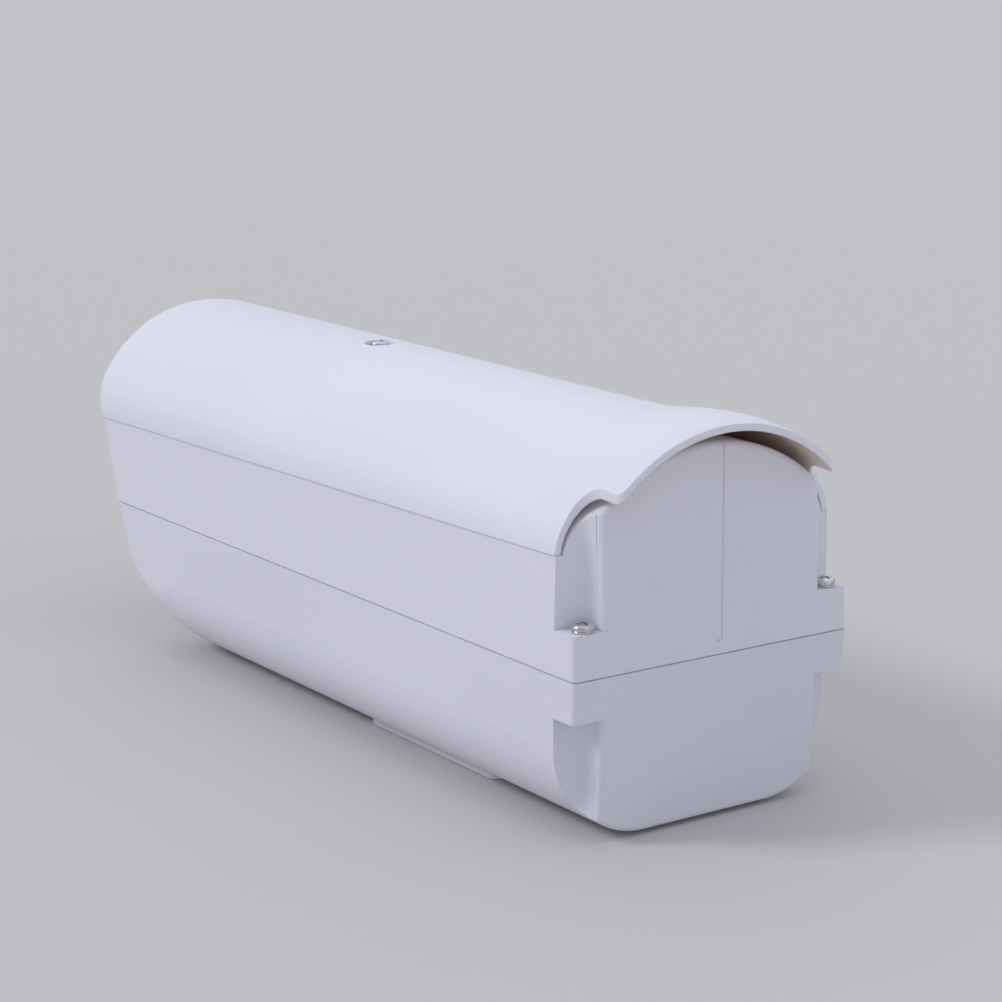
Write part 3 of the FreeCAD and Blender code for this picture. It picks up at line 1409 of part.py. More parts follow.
pieces += [lower_shell, upper_shell, sunshield, cover_seal]
pieces += [front_panel, window_gasket, window_glass, window_retainer]
doc.recompute()
for thing in doc.Objects:
    if "Invalid" in thing.State or "Error" in thing.State:
        raise RuntimeError("%s failed: %s" % (thing.Name, thing.State))
os.makedirs("parts", exist_ok=True)
for piece in pieces:
    shape = piece.Shape
    if shape.isNull() or not shape.isValid():
        raise RuntimeError("%s has no valid shape" % piece.Name)
    piece.Label = piece.Name
    print("%-24s %d solid(s) %10.1f mm3" % (piece.Label, len(shape.Solids), shape.Volume))
for piece in pieces:
    piece.Shape.exportStep("parts/%s.step" % piece.Label)
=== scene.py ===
"""Looks of an outdoor security camera housing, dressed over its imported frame."""

from __future__ import annotations

import json
import logging
import math
from dataclasses import dataclass, field
from enum import Enum

import bmesh
import bpy
from mathutils import Matrix, Vector

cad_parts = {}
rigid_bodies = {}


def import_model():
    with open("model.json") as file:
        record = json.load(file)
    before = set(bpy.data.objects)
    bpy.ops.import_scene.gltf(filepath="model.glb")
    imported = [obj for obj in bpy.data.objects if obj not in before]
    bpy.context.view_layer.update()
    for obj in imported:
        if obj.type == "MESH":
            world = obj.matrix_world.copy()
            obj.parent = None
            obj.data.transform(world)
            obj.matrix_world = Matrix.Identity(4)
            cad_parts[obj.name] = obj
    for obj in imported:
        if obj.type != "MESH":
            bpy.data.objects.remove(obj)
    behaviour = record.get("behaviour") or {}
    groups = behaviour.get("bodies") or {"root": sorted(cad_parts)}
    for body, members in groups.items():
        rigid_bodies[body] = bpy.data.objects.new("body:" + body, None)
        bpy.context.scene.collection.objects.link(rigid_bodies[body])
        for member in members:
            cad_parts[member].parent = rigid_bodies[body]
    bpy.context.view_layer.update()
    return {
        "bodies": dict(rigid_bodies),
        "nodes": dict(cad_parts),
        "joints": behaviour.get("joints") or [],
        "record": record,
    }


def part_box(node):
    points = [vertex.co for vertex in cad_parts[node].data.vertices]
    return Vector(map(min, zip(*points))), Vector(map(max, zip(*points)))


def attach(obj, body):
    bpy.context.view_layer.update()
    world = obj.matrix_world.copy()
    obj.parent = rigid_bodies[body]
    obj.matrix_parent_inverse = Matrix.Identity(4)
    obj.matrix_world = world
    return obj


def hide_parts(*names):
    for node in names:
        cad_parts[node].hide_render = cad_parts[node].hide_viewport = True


LOG = logging.getLogger("camera_housing")
MM = 0.001
NEAR = 0.01 * MM
WELD = 0.002 * MM
MIDDLE = 0.5
SOAK_COLOURS = (1.0, 0.82, 0.72)
SOAK_DEPTH = 2.4 * MM
Colour = tuple[float, float, float, float]


def add_node(tree: bpy.types.NodeTree, kind: str, inputs: dict[str | int, object] | None = None,
             **settings: object) -> bpy.types.Node:
    """Add a shader node.

    Args:
        tree: the material's or the group's node tree.
        kind: the node's type.
        inputs: socket name or number to a value, or to the socket that feeds it.
        settings: properties of the node.

    Returns:
        The new node.
    """
    node = tree.nodes.new(kind)
    for name, value in settings.items():
        setattr(node, name, value)
    for name, value in (inputs or {}).items():
        if isinstance(value, bpy.types.NodeSocket):
            tree.links.new(value, node.inputs[name])
        else:
            node.inputs[name].default_value = value
    return node


def math_node(tree: bpy.types.NodeTree, operation: str, first: float | bpy.types.NodeSocket,
              second: float | bpy.types.NodeSocket) -> bpy.types.NodeSocket:
    """Work out one number from two values or sockets.

    Args:
        tree: the node tree.
        operation: the sum to do.
        first: the first value or socket.
        second: the second value or socket.

    Returns:
        The output socket.
    """
    return add_node(tree, "ShaderNodeMath", {0: first, 1: second}, operation=operation).outputs[0]


def mix_colour(tree: bpy.types.NodeTree, factor: float | bpy.types.NodeSocket,
               first: Colour | bpy.types.NodeSocket,
               second: Colour | bpy.types.NodeSocket) -> bpy.types.NodeSocket:
    """Mix two colours.

    Args:
        tree: the node tree.
        factor: the share of the second colour.
        first: the first colour or socket.
        second: the second colour or socket.

    Returns:
        The output socket.
    """
    node = add_node(tree, "ShaderNodeMix", data_type="RGBA")
    sockets = [socket for socket in node.inputs if socket.enabled]
    for socket, value in zip(sockets, (factor, first, second)):
        if isinstance(value, bpy.types.NodeSocket):
            tree.links.new(value, socket)
        else:
            socket.default_value = value
    return next(socket for socket in node.outputs if socket.enabled)


class Effect(Enum):
    """Node groups that several finishes share."""

    MOULDED_SKIN = "moulded skin"
    DRAWN_GRAIN = "drawn grain"
    TURNED_RINGS = "turned rings"
    WITNESS_LINE = "witness line"


@dataclass
class EffectShelf:
    """Builds each shared node group once."""

    groups: dict[Effect, bpy.types.NodeTree] = field(default_factory=dict)

    def get(self, effect: Effect) -> bpy.types.NodeTree:
        """Give the node group of an effect, built on its first use."""
        if effect not in self.groups:
            makers = {
                Effect.MOULDED_SKIN: self._moulded_skin,
                Effect.DRAWN_GRAIN: self._drawn_grain,
                Effect.TURNED_RINGS: self._turned_rings,
                Effect.WITNESS_LINE: self._witness_line,
            }
            self.groups[effect] = makers[effect]()
        return self.groups[effect]

    def _group(self, effect: Effect, inputs: dict[str, str],
               outputs: dict[str, str]) -> tuple[bpy.types.NodeTree, bpy.types.Node, bpy.types.Node]:
        """Start a node group.

        Args:
            effect: the effect, which gives the group's name.
            inputs: socket name to socket type.
            outputs: socket name to socket type.

        Returns:
            The tree, its input node and its output node.
        """
        tree = bpy.data.node_groups.new(effect.value, "ShaderNodeTree")
        for name, kind in inputs.items():
            tree.interface.new_socket(name, in_out="INPUT", socket_type=kind)
        for name, kind in outputs.items():
            tree.interface.new_socket(name, in_out="OUTPUT", socket_type=kind)
        return tree, tree.nodes.new("NodeGroupInput"), tree.nodes.new("NodeGroupOutput")

    def _moulded_skin(self) -> bpy.types.NodeTree:
        """Spark-eroded grain, a slow drift of tone and faint flow marks from the gate."""
        tree, given, result = self._group(
            Effect.MOULDED_SKIN,
            {"Vector": "NodeSocketVector", "Light": "NodeSocketColor", "Dark": "NodeSocketColor",
             "Grain Scale": "NodeSocketFloat", "Roughness": "NodeSocketFloat"},
            {"Color": "NodeSocketColor", "Roughness": "NodeSocketFloat", "Height": "NodeSocketFloat"},
        )
        grain = add_node(tree, "ShaderNodeTexNoise", {
            "Vector": given.outputs["Vector"], "Scale": given.outputs["Grain Scale"], "Detail": 3.0,
            "Roughness": 0.62})
        drift = add_node(tree, "ShaderNodeTexNoise", {
            "Vector": given.outputs["Vector"], "Scale": 9.0, "Detail": 2.0, "Roughness": 0.5})
        stretch = add_node(tree, "ShaderNodeMapping", {
            "Vector": given.outputs["Vector"], "Scale": (34.0, 5.0, 34.0)})
        flow = add_node(tree, "ShaderNodeTexNoise", {
            "Vector": stretch.outputs[0], "Scale": 1.0, "Detail": 2.0, "Roughness": 0.45, "Distortion": 0.4})
        drift_share, grain_swing, tone_swing = 0.7, 0.16, 0.12
        tone = math_node(tree, "ADD", math_node(tree, "MULTIPLY", drift.outputs["Fac"], drift_share),
                         math_node(tree, "MULTIPLY", flow.outputs["Fac"], 1.0 - drift_share))
        spread = add_node(tree, "ShaderNodeMapRange", {"Value": tone, "From Min": 0.36, "From Max": 0.66})
        colour = mix_colour(tree, spread.outputs[0], given.outputs["Light"], given.outputs["Dark"])
        uneven = math_node(tree, "MULTIPLY", math_node(tree, "SUBTRACT", grain.outputs["Fac"], MIDDLE),
                           grain_swing)
        patchy = math_node(tree, "MULTIPLY", math_node(tree, "SUBTRACT", tone, MIDDLE), tone_swing)
        rough = math_node(tree, "ADD", given.outputs["Roughness"], math_node(tree, "ADD", uneven, patchy))
        tree.links.new(colour, result.inputs["Color"])
        tree.links.new(rough, result.inputs["Roughness"])
        tree.links.new(grain.outputs["Fac"], result.inputs["Height"])
        return tree

    def _drawn_grain(self) -> bpy.types.NodeTree:
        """Fine lines along the housing, as on rolled sheet, over a cloudy tone."""
        tree, given, result = self._group(
            Effect.DRAWN_GRAIN,
            {"Vector": "NodeSocketVector", "Light": "NodeSocketColor", "Dark": "NodeSocketColor",
             "Roughness": "NodeSocketFloat"},
            {"Color": "NodeSocketColor", "Roughness": "NodeSocketFloat", "Height": "NodeSocketFloat"},
        )
        stretch = add_node(tree, "ShaderNodeMapping", {
            "Vector": given.outputs["Vector"], "Scale": (2600.0, 60.0, 2600.0)})
        lines = add_node(tree, "ShaderNodeTexNoise", {
            "Vector": stretch.outputs[0], "Scale": 1.0, "Detail": 4.0, "Roughness": 0.6})
        clouds = add_node(tree, "ShaderNodeTexNoise", {
            "Vector": given.outputs["Vector"], "Scale": 34.0, "Detail": 3.0, "Roughness": 0.55})
        line_share, swing = 0.6, 0.3
        share = math_node(tree, "ADD", math_node(tree, "MULTIPLY", lines.outputs["Fac"], line_share),
                          math_node(tree, "MULTIPLY", clouds.outputs["Fac"], 1.0 - line_share))
        colour = mix_colour(tree, share, given.outputs["Dark"], given.outputs["Light"])
        uneven = math_node(tree, "MULTIPLY", math_node(tree, "SUBTRACT", share, MIDDLE), swing)
        tree.links.new(colour, result.inputs["Color"])
        rough = math_node(tree, "ADD", given.outputs["Roughness"], uneven)
        tree.links.new(rough, result.inputs["Roughness"])
        tree.links.new(lines.outputs["Fac"], result.inputs["Height"])
        return tree

    def _turned_rings(self) -> bpy.types.NodeTree:
        """Fine tool marks and small scratches on turned metal."""
        tree, given, result = self._group(
            Effect.TURNED_RINGS,
            {"Vector": "NodeSocketVector", "Light": "NodeSocketColor", "Dark": "NodeSocketColor",
             "Roughness": "NodeSocketFloat"},
            {"Color": "NodeSocketColor", "Roughness": "NodeSocketFloat", "Height": "NodeSocketFloat"},
        )
        marks = add_node(tree, "ShaderNodeTexNoise", {
            "Vector": given.outputs["Vector"], "Scale": 1900.0, "Detail": 4.0, "Roughness": 0.7})
        stain = add_node(tree, "ShaderNodeTexNoise", {
            "Vector": given.outputs["Vector"], "Scale": 260.0, "Detail": 3.0, "Roughness": 0.5})
        colour = mix_colour(tree, stain.outputs["Fac"], given.outputs["Light"], given.outputs["Dark"])
        swing = 0.25
        uneven = math_node(tree, "MULTIPLY", math_node(tree, "SUBTRACT", marks.outputs["Fac"], MIDDLE),
                           swing)
        tree.links.new(colour, result.inputs["Color"])
        rough = math_node(tree, "ADD", given.outputs["Roughness"], uneven)
        tree.links.new(rough, result.inputs["Roughness"])
        tree.links.new(marks.outputs["Fac"], result.inputs["Height"])
        return tree

    def _witness_line(self) -> bpy.types.NodeTree:
        """The fine line that a split mould leaves up a rear wall, with its short foot."""
        tree, given, result = self._group(
            Effect.WITNESS_LINE,
            {"Vector": "NodeSocketVector", "Foot": "NodeSocketVector", "Foot Reach": "NodeSocketFloat",
             "Slant": "NodeSocketFloat", "Half Width": "NodeSocketFloat"},
            {"Mask": "NodeSocketFloat"},
        )
        away = add_node(tree, "ShaderNodeVectorMath", {0: given.outputs["Vector"], 1: given.outputs["Foot"]},
                        operation="SUBTRACT")
        across, back, up = add_node(tree, "ShaderNodeSeparateXYZ", {0: away.outputs[0]}).outputs
        beside = math_node(tree, "SUBTRACT", across, math_node(tree, "MULTIPLY", up, given.outputs["Slant"]))
        half = given.outputs["Half Width"]
        upright = math_node(tree, "MULTIPLY", self._within(tree, beside, half),
                            math_node(tree, "GREATER_THAN", up, 0.0))
        reach = math_node(tree, "MULTIPLY", given.outputs["Foot Reach"], 0.5)
        along = math_node(tree, "SUBTRACT", across, reach)
        foot = math_node(tree, "MULTIPLY", self._within(tree, along, reach), self._within(tree, up, half))
        line = math_node(tree, "MAXIMUM", upright, foot)
        mask = math_node(tree, "MULTIPLY", line, math_node(tree, "GREATER_THAN", back, 0.0))
        tree.links.new(mask, result.inputs["Mask"])
        return tree

    @staticmethod
    def _within(tree: bpy.types.NodeTree, distance: bpy.types.NodeSocket,
                limit: bpy.types.NodeSocket) -> bpy.types.NodeSocket:
        """Fade from one to zero as a distance passes a limit.

        Args:
            tree: the node tree.
            distance: the signed distance, as a socket.
            limit: where it has faded to a half.

        Returns:
            The output socket.
        """
        share = math_node(tree, "DIVIDE", math_node(tree, "ABSOLUTE", distance, 0.0), limit)
        return add_node(tree, "ShaderNodeMapRange", {
            "Value": share, "From Min": 0.6, "From Max": 1.4, "To Min": 1.0, "To Max": 0.0}).outputs[0]


@dataclass(frozen=True)
class SplitLine:
    """Where the split of the mould shows on a moulding.

    Attributes:
        foot: its lower end, in metres.
        foot_reach: how far its short foot turns aside.
        slant: how far it leans across for each metre that it rises.
        half_width: half its width.
        shade: how dark it is, as a share of the plastic's own tone.
        depth: how deep it is.
    """

    foot: tuple[float, float, float]
    foot_reach: float
    slant: float
    half_width: float
    shade: float
    depth: float


@dataclass(frozen=True)
class Finish:
    """A surface finish, made a material once.

    Attributes:
        name: the material's name.
        slot: the record's material slot that it stands for.
        effect: the node group that varies it.
        light: the lighter tone.
        dark: the darker tone.
        roughness: the middle roughness.
        bump: how deep the group's height reads, in metres.
        grain: the scale of the moulded grain, in waves to the metre.
        metallic: one for bare metal.
        specular: the strength of the reflection off a surface that isn't metal.
        sheen: a soft bright rim, for rubber.
        subsurface: how much light soaks in, for white plastic.
        edge_radius: how soft the edges look.
        painted_underside_shade: a painted warm shade on the faces that look down, standing in for the warm,
            shaded light under the overhang.
        split: where the mould's split shows, if it does.
    """

    name: str
    slot: str
    effect: Effect
    light: Colour
    dark: Colour
    roughness: float
    bump: float
    grain: float = 2400.0
    metallic: float = 0.0
    specular: float = 0.5
    sheen: float = 0.0
    subsurface: float = 0.0
    edge_radius: float = 0.15 * MM
    painted_underside_shade: Colour | None = None
    split: SplitLine | None = None

    def build(self, shelf: EffectShelf) -> bpy.types.Material:
        """Make the material.

        Args:
            shelf: where the shared node groups are kept.

        Returns:
            The material.
        """
        material = bpy.data.materials.new(self.name)
        material.use_nodes = True
        tree = material.node_tree
        shader = tree.nodes["Principled BSDF"]
        place = add_node(tree, "ShaderNodeTexCoord")
        group = add_node(tree, "ShaderNodeGroup", node_tree=shelf.get(self.effect))
        tree.links.new(place.outputs["Object"], group.inputs["Vector"])
        group.inputs["Light"].default_value = self.light
        group.inputs["Dark"].default_value = self.dark
        group.inputs["Roughness"].default_value = self.roughness
        if "Grain Scale" in group.inputs:
            group.inputs["Grain Scale"].default_value = self.grain
        edges = add_node(tree, "ShaderNodeBevel", {"Radius": self.edge_radius}, samples=4)
        bump = add_node(tree, "ShaderNodeBump", {"Height": group.outputs["Height"], "Strength": 1.0,
                                                 "Distance": self.bump, "Normal": edges.outputs[0]})
        colour = group.outputs["Color"]
        # Faces that look down get a painted warm shade, not a real stain.
        if self.painted_underside_shade:
            colour = self._paint_underside_shade(tree, place, colour)
        if self.split:
            colour, bump = self._split(tree, shelf, place, colour, bump)
        tree.links.new(colour, shader.inputs["Base Color"])
        tree.links.new(group.outputs["Roughness"], shader.inputs["Roughness"])
        tree.links.new(bump.outputs[0], shader.inputs["Normal"])
        shader.inputs["Metallic"].default_value = self.metallic
        shader.inputs["Specular IOR Level"].default_value = self.specular
        shader.inputs["Sheen Weight"].default_value = self.sheen
        shader.inputs["Subsurface Weight"].default_value = self.subsurface
        shader.inputs["Subsurface Radius"].default_value = SOAK_COLOURS
        shader.inputs["Subsurface Scale"].default_value = SOAK_DEPTH
        return material

    def _paint_underside_shade(self, tree: bpy.types.NodeTree, place: bpy.types.Node,
                colour: bpy.types.NodeSocket) -> bpy.types.NodeSocket:
        """Paint a warm shade on the faces that look down in the row frame, in place of the shaded light
        under the overhang.

        Args:
            tree: the material's node tree.
            place: the texture coordinate node.
            colour: the plastic's own colour.

        Returns:
            The mixed colour.
        """
        # Mask of the painted shade: how far each face looks down.
        height = add_node(tree, "ShaderNodeSeparateXYZ", {0: place.outputs["Normal"]}).outputs[2]
        share = add_node(tree, "ShaderNodeMapRange", {
            "Value": height, "From Min": -0.15, "From Max": -0.6, "To Min": 0.0, "To Max": 1.0}).outputs[0]
        return mix_colour(tree, share, colour, self.painted_underside_shade)

    def _split(self, tree: bpy.types.NodeTree, shelf: EffectShelf, place: bpy.types.Node,
               colour: bpy.types.NodeSocket,
               bump: bpy.types.Node) -> tuple[bpy.types.NodeSocket, bpy.types.Node]:
        """Draw the line of the mould's split.

        Args:
            tree: the material's node tree.
            shelf: where the shared node groups are kept.
            place: the texture coordinate node.
            colour: the plastic's own colour.
            bump: the grain's bump node.

        Returns:
            The colour with the line in it and the bump node that comes last.
        """
        line = add_node(tree, "ShaderNodeGroup", node_tree=shelf.get(Effect.WITNESS_LINE))
        tree.links.new(place.outputs["Object"], line.inputs["Vector"])
        line.inputs["Foot"].default_value = self.split.foot
        line.inputs["Foot Reach"].default_value = self.split.foot_reach
        line.inputs["Slant"].default_value = self.split.slant
        line.inputs["Half Width"].default_value = self.split.half_width
        shade = tuple(self.split.shade * value for value in self.dark[:3]) + (1.0,)
        step = add_node(tree, "ShaderNodeBump", {
            "Height": line.outputs["Mask"], "Distance": self.split.depth, "Normal": bump.outputs[0]},
            invert=True)
        return mix_colour(tree, line.outputs["Mask"], colour, shade), step


@dataclass(frozen=True)
class ClearGlass:
    """Flat window glass with a faint green edge."""

    name: str = "window_glass"
    slot: str = "window_glass"
    tint: Colour = (0.93, 0.97, 0.96, 1.0)
    roughness: float = 0.02

    def build(self, shelf: EffectShelf) -> bpy.types.Material:
        """Make the material.

        Args:
            shelf: where the shared node groups are kept; glass needs none.

        Returns:
            The material.
        """
        material = bpy.data.materials.new(self.name)
        material.use_nodes = True
        tree = material.node_tree
        shader = tree.nodes["Principled BSDF"]
        shader.inputs["Metallic"].default_value = 0.0
        shader.inputs["Transmission Weight"].default_value = 1.0
        shader.inputs["IOR"].default_value = 1.52
        place = add_node(tree, "ShaderNodeTexCoord")
        smears = add_node(tree, "ShaderNodeTexNoise", {"Vector": place.outputs["Object"], "Scale": 30.0,
                                                       "Detail": 4.0})
        film = add_node(tree, "ShaderNodeMapRange", {"Value": smears.outputs["Fac"], "From Min": 0.5,
                                                     "From Max": 0.8, "To Min": self.roughness,
                                                     "To Max": self.roughness * 4})
        tree.links.new(film.outputs[0], shader.inputs["Roughness"])
        shader.inputs["Base Color"].default_value = self.tint
        return material


REAR_SPLIT = SplitLine(foot=(-2.9 * MM, 112.0 * MM, 67.3 * MM), foot_reach=2.2 * MM, slant=-0.028,
                       half_width=0.28 * MM, shade=0.8, depth=0.12 * MM)
# The sunshield's downward faces carry a painted warm shade for the shaded light under its overhang.
SHIELD_WHITE = Finish("sunshield_plastic", "shield_plastic", Effect.MOULDED_SKIN,
                      (0.80, 0.80, 0.90, 1.0), (0.77, 0.77, 0.87, 1.0), 0.46, 0.02 * MM, subsurface=0.3,
                      edge_radius=0.5 * MM, painted_underside_shade=(0.82, 0.71, 0.62, 1.0))
COVER_WHITE = Finish("cover_plastic", "cover_plastic", Effect.MOULDED_SKIN,
                     (0.78, 0.775, 0.87, 1.0), (0.75, 0.745, 0.84, 1.0), 0.48, 0.02 * MM, subsurface=0.06,
                     edge_radius=0.45 * MM, split=REAR_SPLIT)
TUB_WHITE = Finish("tub_plastic", "tub_plastic", Effect.MOULDED_SKIN,
                   (0.765, 0.76, 0.855, 1.0), (0.735, 0.73, 0.825, 1.0), 0.48, 0.02 * MM, subsurface=0.06,
                   edge_radius=0.45 * MM)
PANEL_BLACK = Finish("panel_plastic", "panel_plastic", Effect.MOULDED_SKIN,
                     (0.020, 0.020, 0.022, 1.0), (0.012, 0.012, 0.014, 1.0), 0.5, 0.03 * MM, grain=1800.0)
SEAL_RUBBER = Finish("seal_rubber", "seal_rubber", Effect.MOULDED_SKIN,
                     (0.016, 0.016, 0.017, 1.0), (0.009, 0.009, 0.010, 1.0), 0.72, 0.03 * MM, grain=1300.0,
                     specular=0.3, sheen=0.25)
GROMMET_RUBBER = Finish("grommet_rubber", "grommet_rubber", Effect.MOULDED_SKIN,
                        (0.022, 0.022, 0.024, 1.0), (0.012, 0.012, 0.013, 1.0), 0.66, 0.03 * MM,
                        grain=1500.0, specular=0.35, sheen=0.2)
BRIGHT_STEEL = Finish("screw_steel", "screw_steel", Effect.TURNED_RINGS,
                      (0.76, 0.76, 0.78, 1.0), (0.48, 0.48, 0.50, 1.0), 0.17, 0.006 * MM, metallic=1.0)
INSERT_BRASS = Finish("insert_brass", "insert_brass", Effect.TURNED_RINGS,
                      (0.76, 0.58, 0.27, 1.0), (0.55, 0.40, 0.17, 1.0), 0.32, 0.012 * MM, metallic=1.0)
SLED_SHEET = Finish("sled_aluminium", "sled_aluminium", Effect.DRAWN_GRAIN,
                    (0.78, 0.79, 0.80, 1.0), (0.60, 0.61, 0.63, 1.0), 0.36, 0.006 * MM, metallic=1.0)
WINDOW_GLASS = ClearGlass()
FINISHES = (SHIELD_WHITE, COVER_WHITE, TUB_WHITE, PANEL_BLACK, SEAL_RUBBER, GROMMET_RUBBER, BRIGHT_STEEL,
            INSERT_BRASS, SLED_SHEET, WINDOW_GLASS)


@dataclass
class Workshop:
    """What every sub-assembly needs: the frame, the finishes and ways to add pieces."""

    frame: dict
    shelf: EffectShelf = field(default_factory=EffectShelf)
    materials: dict[str, bpy.types.Material] = field(default_factory=dict)

    def __post_init__(self) -> None:
        """Build every finish."""
        for finish in FINISHES:
            self.materials[finish.slot] = finish.build(self.shelf)

    def dress(self, piece: bpy.types.Object, finish: Finish | ClearGlass) -> None:
        """Give a piece one finish, in place of any it has."""
        piece.data.materials.clear()
        piece.data.materials.append(self.materials[finish.slot])

    def dress_nodes(self, finish: Finish | ClearGlass, *names: str) -> None:
        """Give CAD nodes one finish.

        Args:
            finish: the finish.
            names: the nodes.
        """
        for name in names:
            self.dress(self.frame["nodes"][name], finish)

    def body_of(self, node: str) -> str:
        """Name the body that a CAD node belongs to."""
        bodies = self.frame["record"]["behaviour"]["bodies"]
        return next(body for body, nodes in bodies.items() if node in nodes)

    def head_height(self, node: str) -> float:
        """Height of a CAD screw's head, between its widest ring's foot and its top.

        Args:
            node: the screw's node.

        Returns:
            The height, in metres.
        """
        points = [Vector(point.co) for point in self.frame["nodes"][node].data.vertices]
        low, high = (Vector(value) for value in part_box(node))
        middle = (low + high) / 2.0
        along = max(range(3), key=lambda axis: high[axis] - low[axis])
        rest = [axis for axis in range(3) if axis != along]
        at_rim = (high[rest[0]] - low[rest[0]]) / 2.0 * 0.97
        wide = [point[along] for point in points
                if math.hypot(*(point[axis] - middle[axis] for axis in rest)) > at_rim]
        return high[along] - min(wide)

    def add(self, name: str, mesh: bmesh.types.BMesh, body: str, finish: Finish, *nodes: str,
            smooth: float = 30.0) -> bpy.types.Object:
        """Make a bmesh a piece of the object.

        Args:
            name: the piece's name.
            mesh: its mesh, in the row frame; it is freed here.
            body: the body that it rides on.
            finish: its finish.
            nodes: the CAD nodes that it stands for.
            smooth: edges that turn by less than this, in degrees, are shaded smooth.

        Returns:
            The piece.
        """
        for face in mesh.faces:
            face.smooth = True
        for edge in mesh.edges:
            edge.smooth = edge.calc_face_angle(0.0) < math.radians(smooth)
        data = bpy.data.meshes.new(name)
        mesh.to_mesh(data)
        mesh.free()
        piece = bpy.data.objects.new(name, data)
        bpy.context.scene.collection.objects.link(piece)
        self.dress(piece, finish)
        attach(piece, body)
        if nodes:
            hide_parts(*nodes)
        LOG.info("%s: %d faces on %s", name, len(data.polygons), body)
        return piece


@dataclass
class Shells:
    """The moulded tub, cover and sunshield."""

    shop: Workshop

    def build(self) -> None:
        """Dress the three mouldings."""
        self.shop.dress_nodes(TUB_WHITE, "lower_shell")
        self.shop.dress_nodes(COVER_WHITE, "upper_shell")
        self.shop.dress_nodes(SHIELD_WHITE, "sunshield")


@dataclass
class WindowSet:
    """Front panel, window glass and what holds them."""

    shop: Workshop

    def build(self) -> None:
        """Dress the window's pieces."""
        self.shop.dress_nodes(PANEL_BLACK, "front_panel", "window_retainer")
        self.shop.dress_nodes(WINDOW_GLASS, "window_glass")
        self.shop.dress_nodes(SEAL_RUBBER, "window_gasket", "cover_seal")
        self.shop.dress_nodes(GROMMET_RUBBER, "cable_grommet_left", "cable_grommet_right")


class Facing(Enum):
    """Which way a screw's head looks."""

    UP = Matrix.Identity(4)
    BACK = Matrix.Rotation(math.radians(-90.0), 4, "X")


def turned(profile: list[tuple[float, float]], steps: int) -> bmesh.types.BMesh:
    """Turn a profile about the upright axis.

    Args:
        profile: distances from the axis and heights, in metres; it is closed by the axis or by its own ends.
        steps: the number of facets round the axis.

    Returns:
        The turned mesh.
    """
    mesh = bmesh.new()
    points = [mesh.verts.new((away, 0.0, height)) for away, height in profile]
    edges = [mesh.edges.new(pair) for pair in zip(points, points[1:])]
    bmesh.ops.spin(mesh, geom=points + edges, axis=(0.0, 0.0, 1.0), cent=(0.0, 0.0, 0.0),
                   angle=math.tau, steps=steps, use_merge=True)
    bmesh.ops.remove_doubles(mesh, verts=mesh.verts, dist=WELD)
    bmesh.ops.recalc_face_normals(mesh, faces=mesh.faces)
    return mesh


@dataclass(frozen=True)
class HelixRidge:
    """One thread: a ridge that winds round a shank or inside a bore.

    Attributes:
        root: distance of the ridge's foot from the axis.
        crest: distance of its crest from the axis.
        pitch: how far it rises in a turn.
        low: where it starts.
        high: where it ends.
        steps: the number of facets in a turn.
        bite: how far its foot is sunk in the shank or the wall.
        flank: how far a flank runs along the axis, as a share of the pitch.
        flat: half the crest's width, as a share of the pitch.
    """

    root: float
    crest: float
    pitch: float
    low: float
    high: float
    steps: int = 20
    bite: float = 0.06 * MM
    flank: float = 0.44
    flat: float = 0.07

    def wind(self, mesh: bmesh.types.BMesh) -> None:
        """Add the ridge to a mesh.

        Args:
            mesh: the mesh that gets it.
        """
        bite = math.copysign(self.bite, self.crest - self.root)
        reach = self.pitch * self.flank
        flat = self.pitch * self.flat
        section = [mesh.verts.new((away, 0.0, self.low + rise)) for away, rise in (
            (self.root - bite, 0.0), (self.crest, reach - flat), (self.crest, reach + flat),
            (self.root - bite, 2.0 * reach))]
        face = mesh.faces.new(section)
        turns = (self.high - self.low - 2.0 * reach) / self.pitch
        count = max(int(turns * self.steps), 1)
        made = bmesh.ops.spin(mesh, geom=[face, *face.edges, *section], axis=(0.0, 0.0, 1.0),
                              cent=(0.0, 0.0, 0.0), dvec=(0.0, 0.0, self.pitch * turns / count),
                              angle=math.tau * turns, steps=count)
        last = [item for item in made["geom_last"] if isinstance(item, bmesh.types.BMVert)]
        for ends in (section, last):
            for point in ends:
                away = math.hypot(point.co.x, point.co.y)
                share = (self.root - bite * 0.5) / away
                if abs(away - self.crest) < NEAR:
                    point.co.x *= share
                    point.co.y *= share


@dataclass(frozen=True)
class CrossRecess:
    """The cross in a screw's head.

    Attributes:
        reach: how far its arms reach, as a share of the head's radius.
        half_width: half an arm's width, as a share of that radius.
        floor: height of its deepest point, as a share of the head's height.
        slope: how much its floor rises on the way out.
        taper: the floor's size, as a share of the mouth's.
    """

    reach: float = 0.64
    half_width: float = 0.15
    floor: float = 0.1
    slope: float = 0.4
    taper: float = 0.78


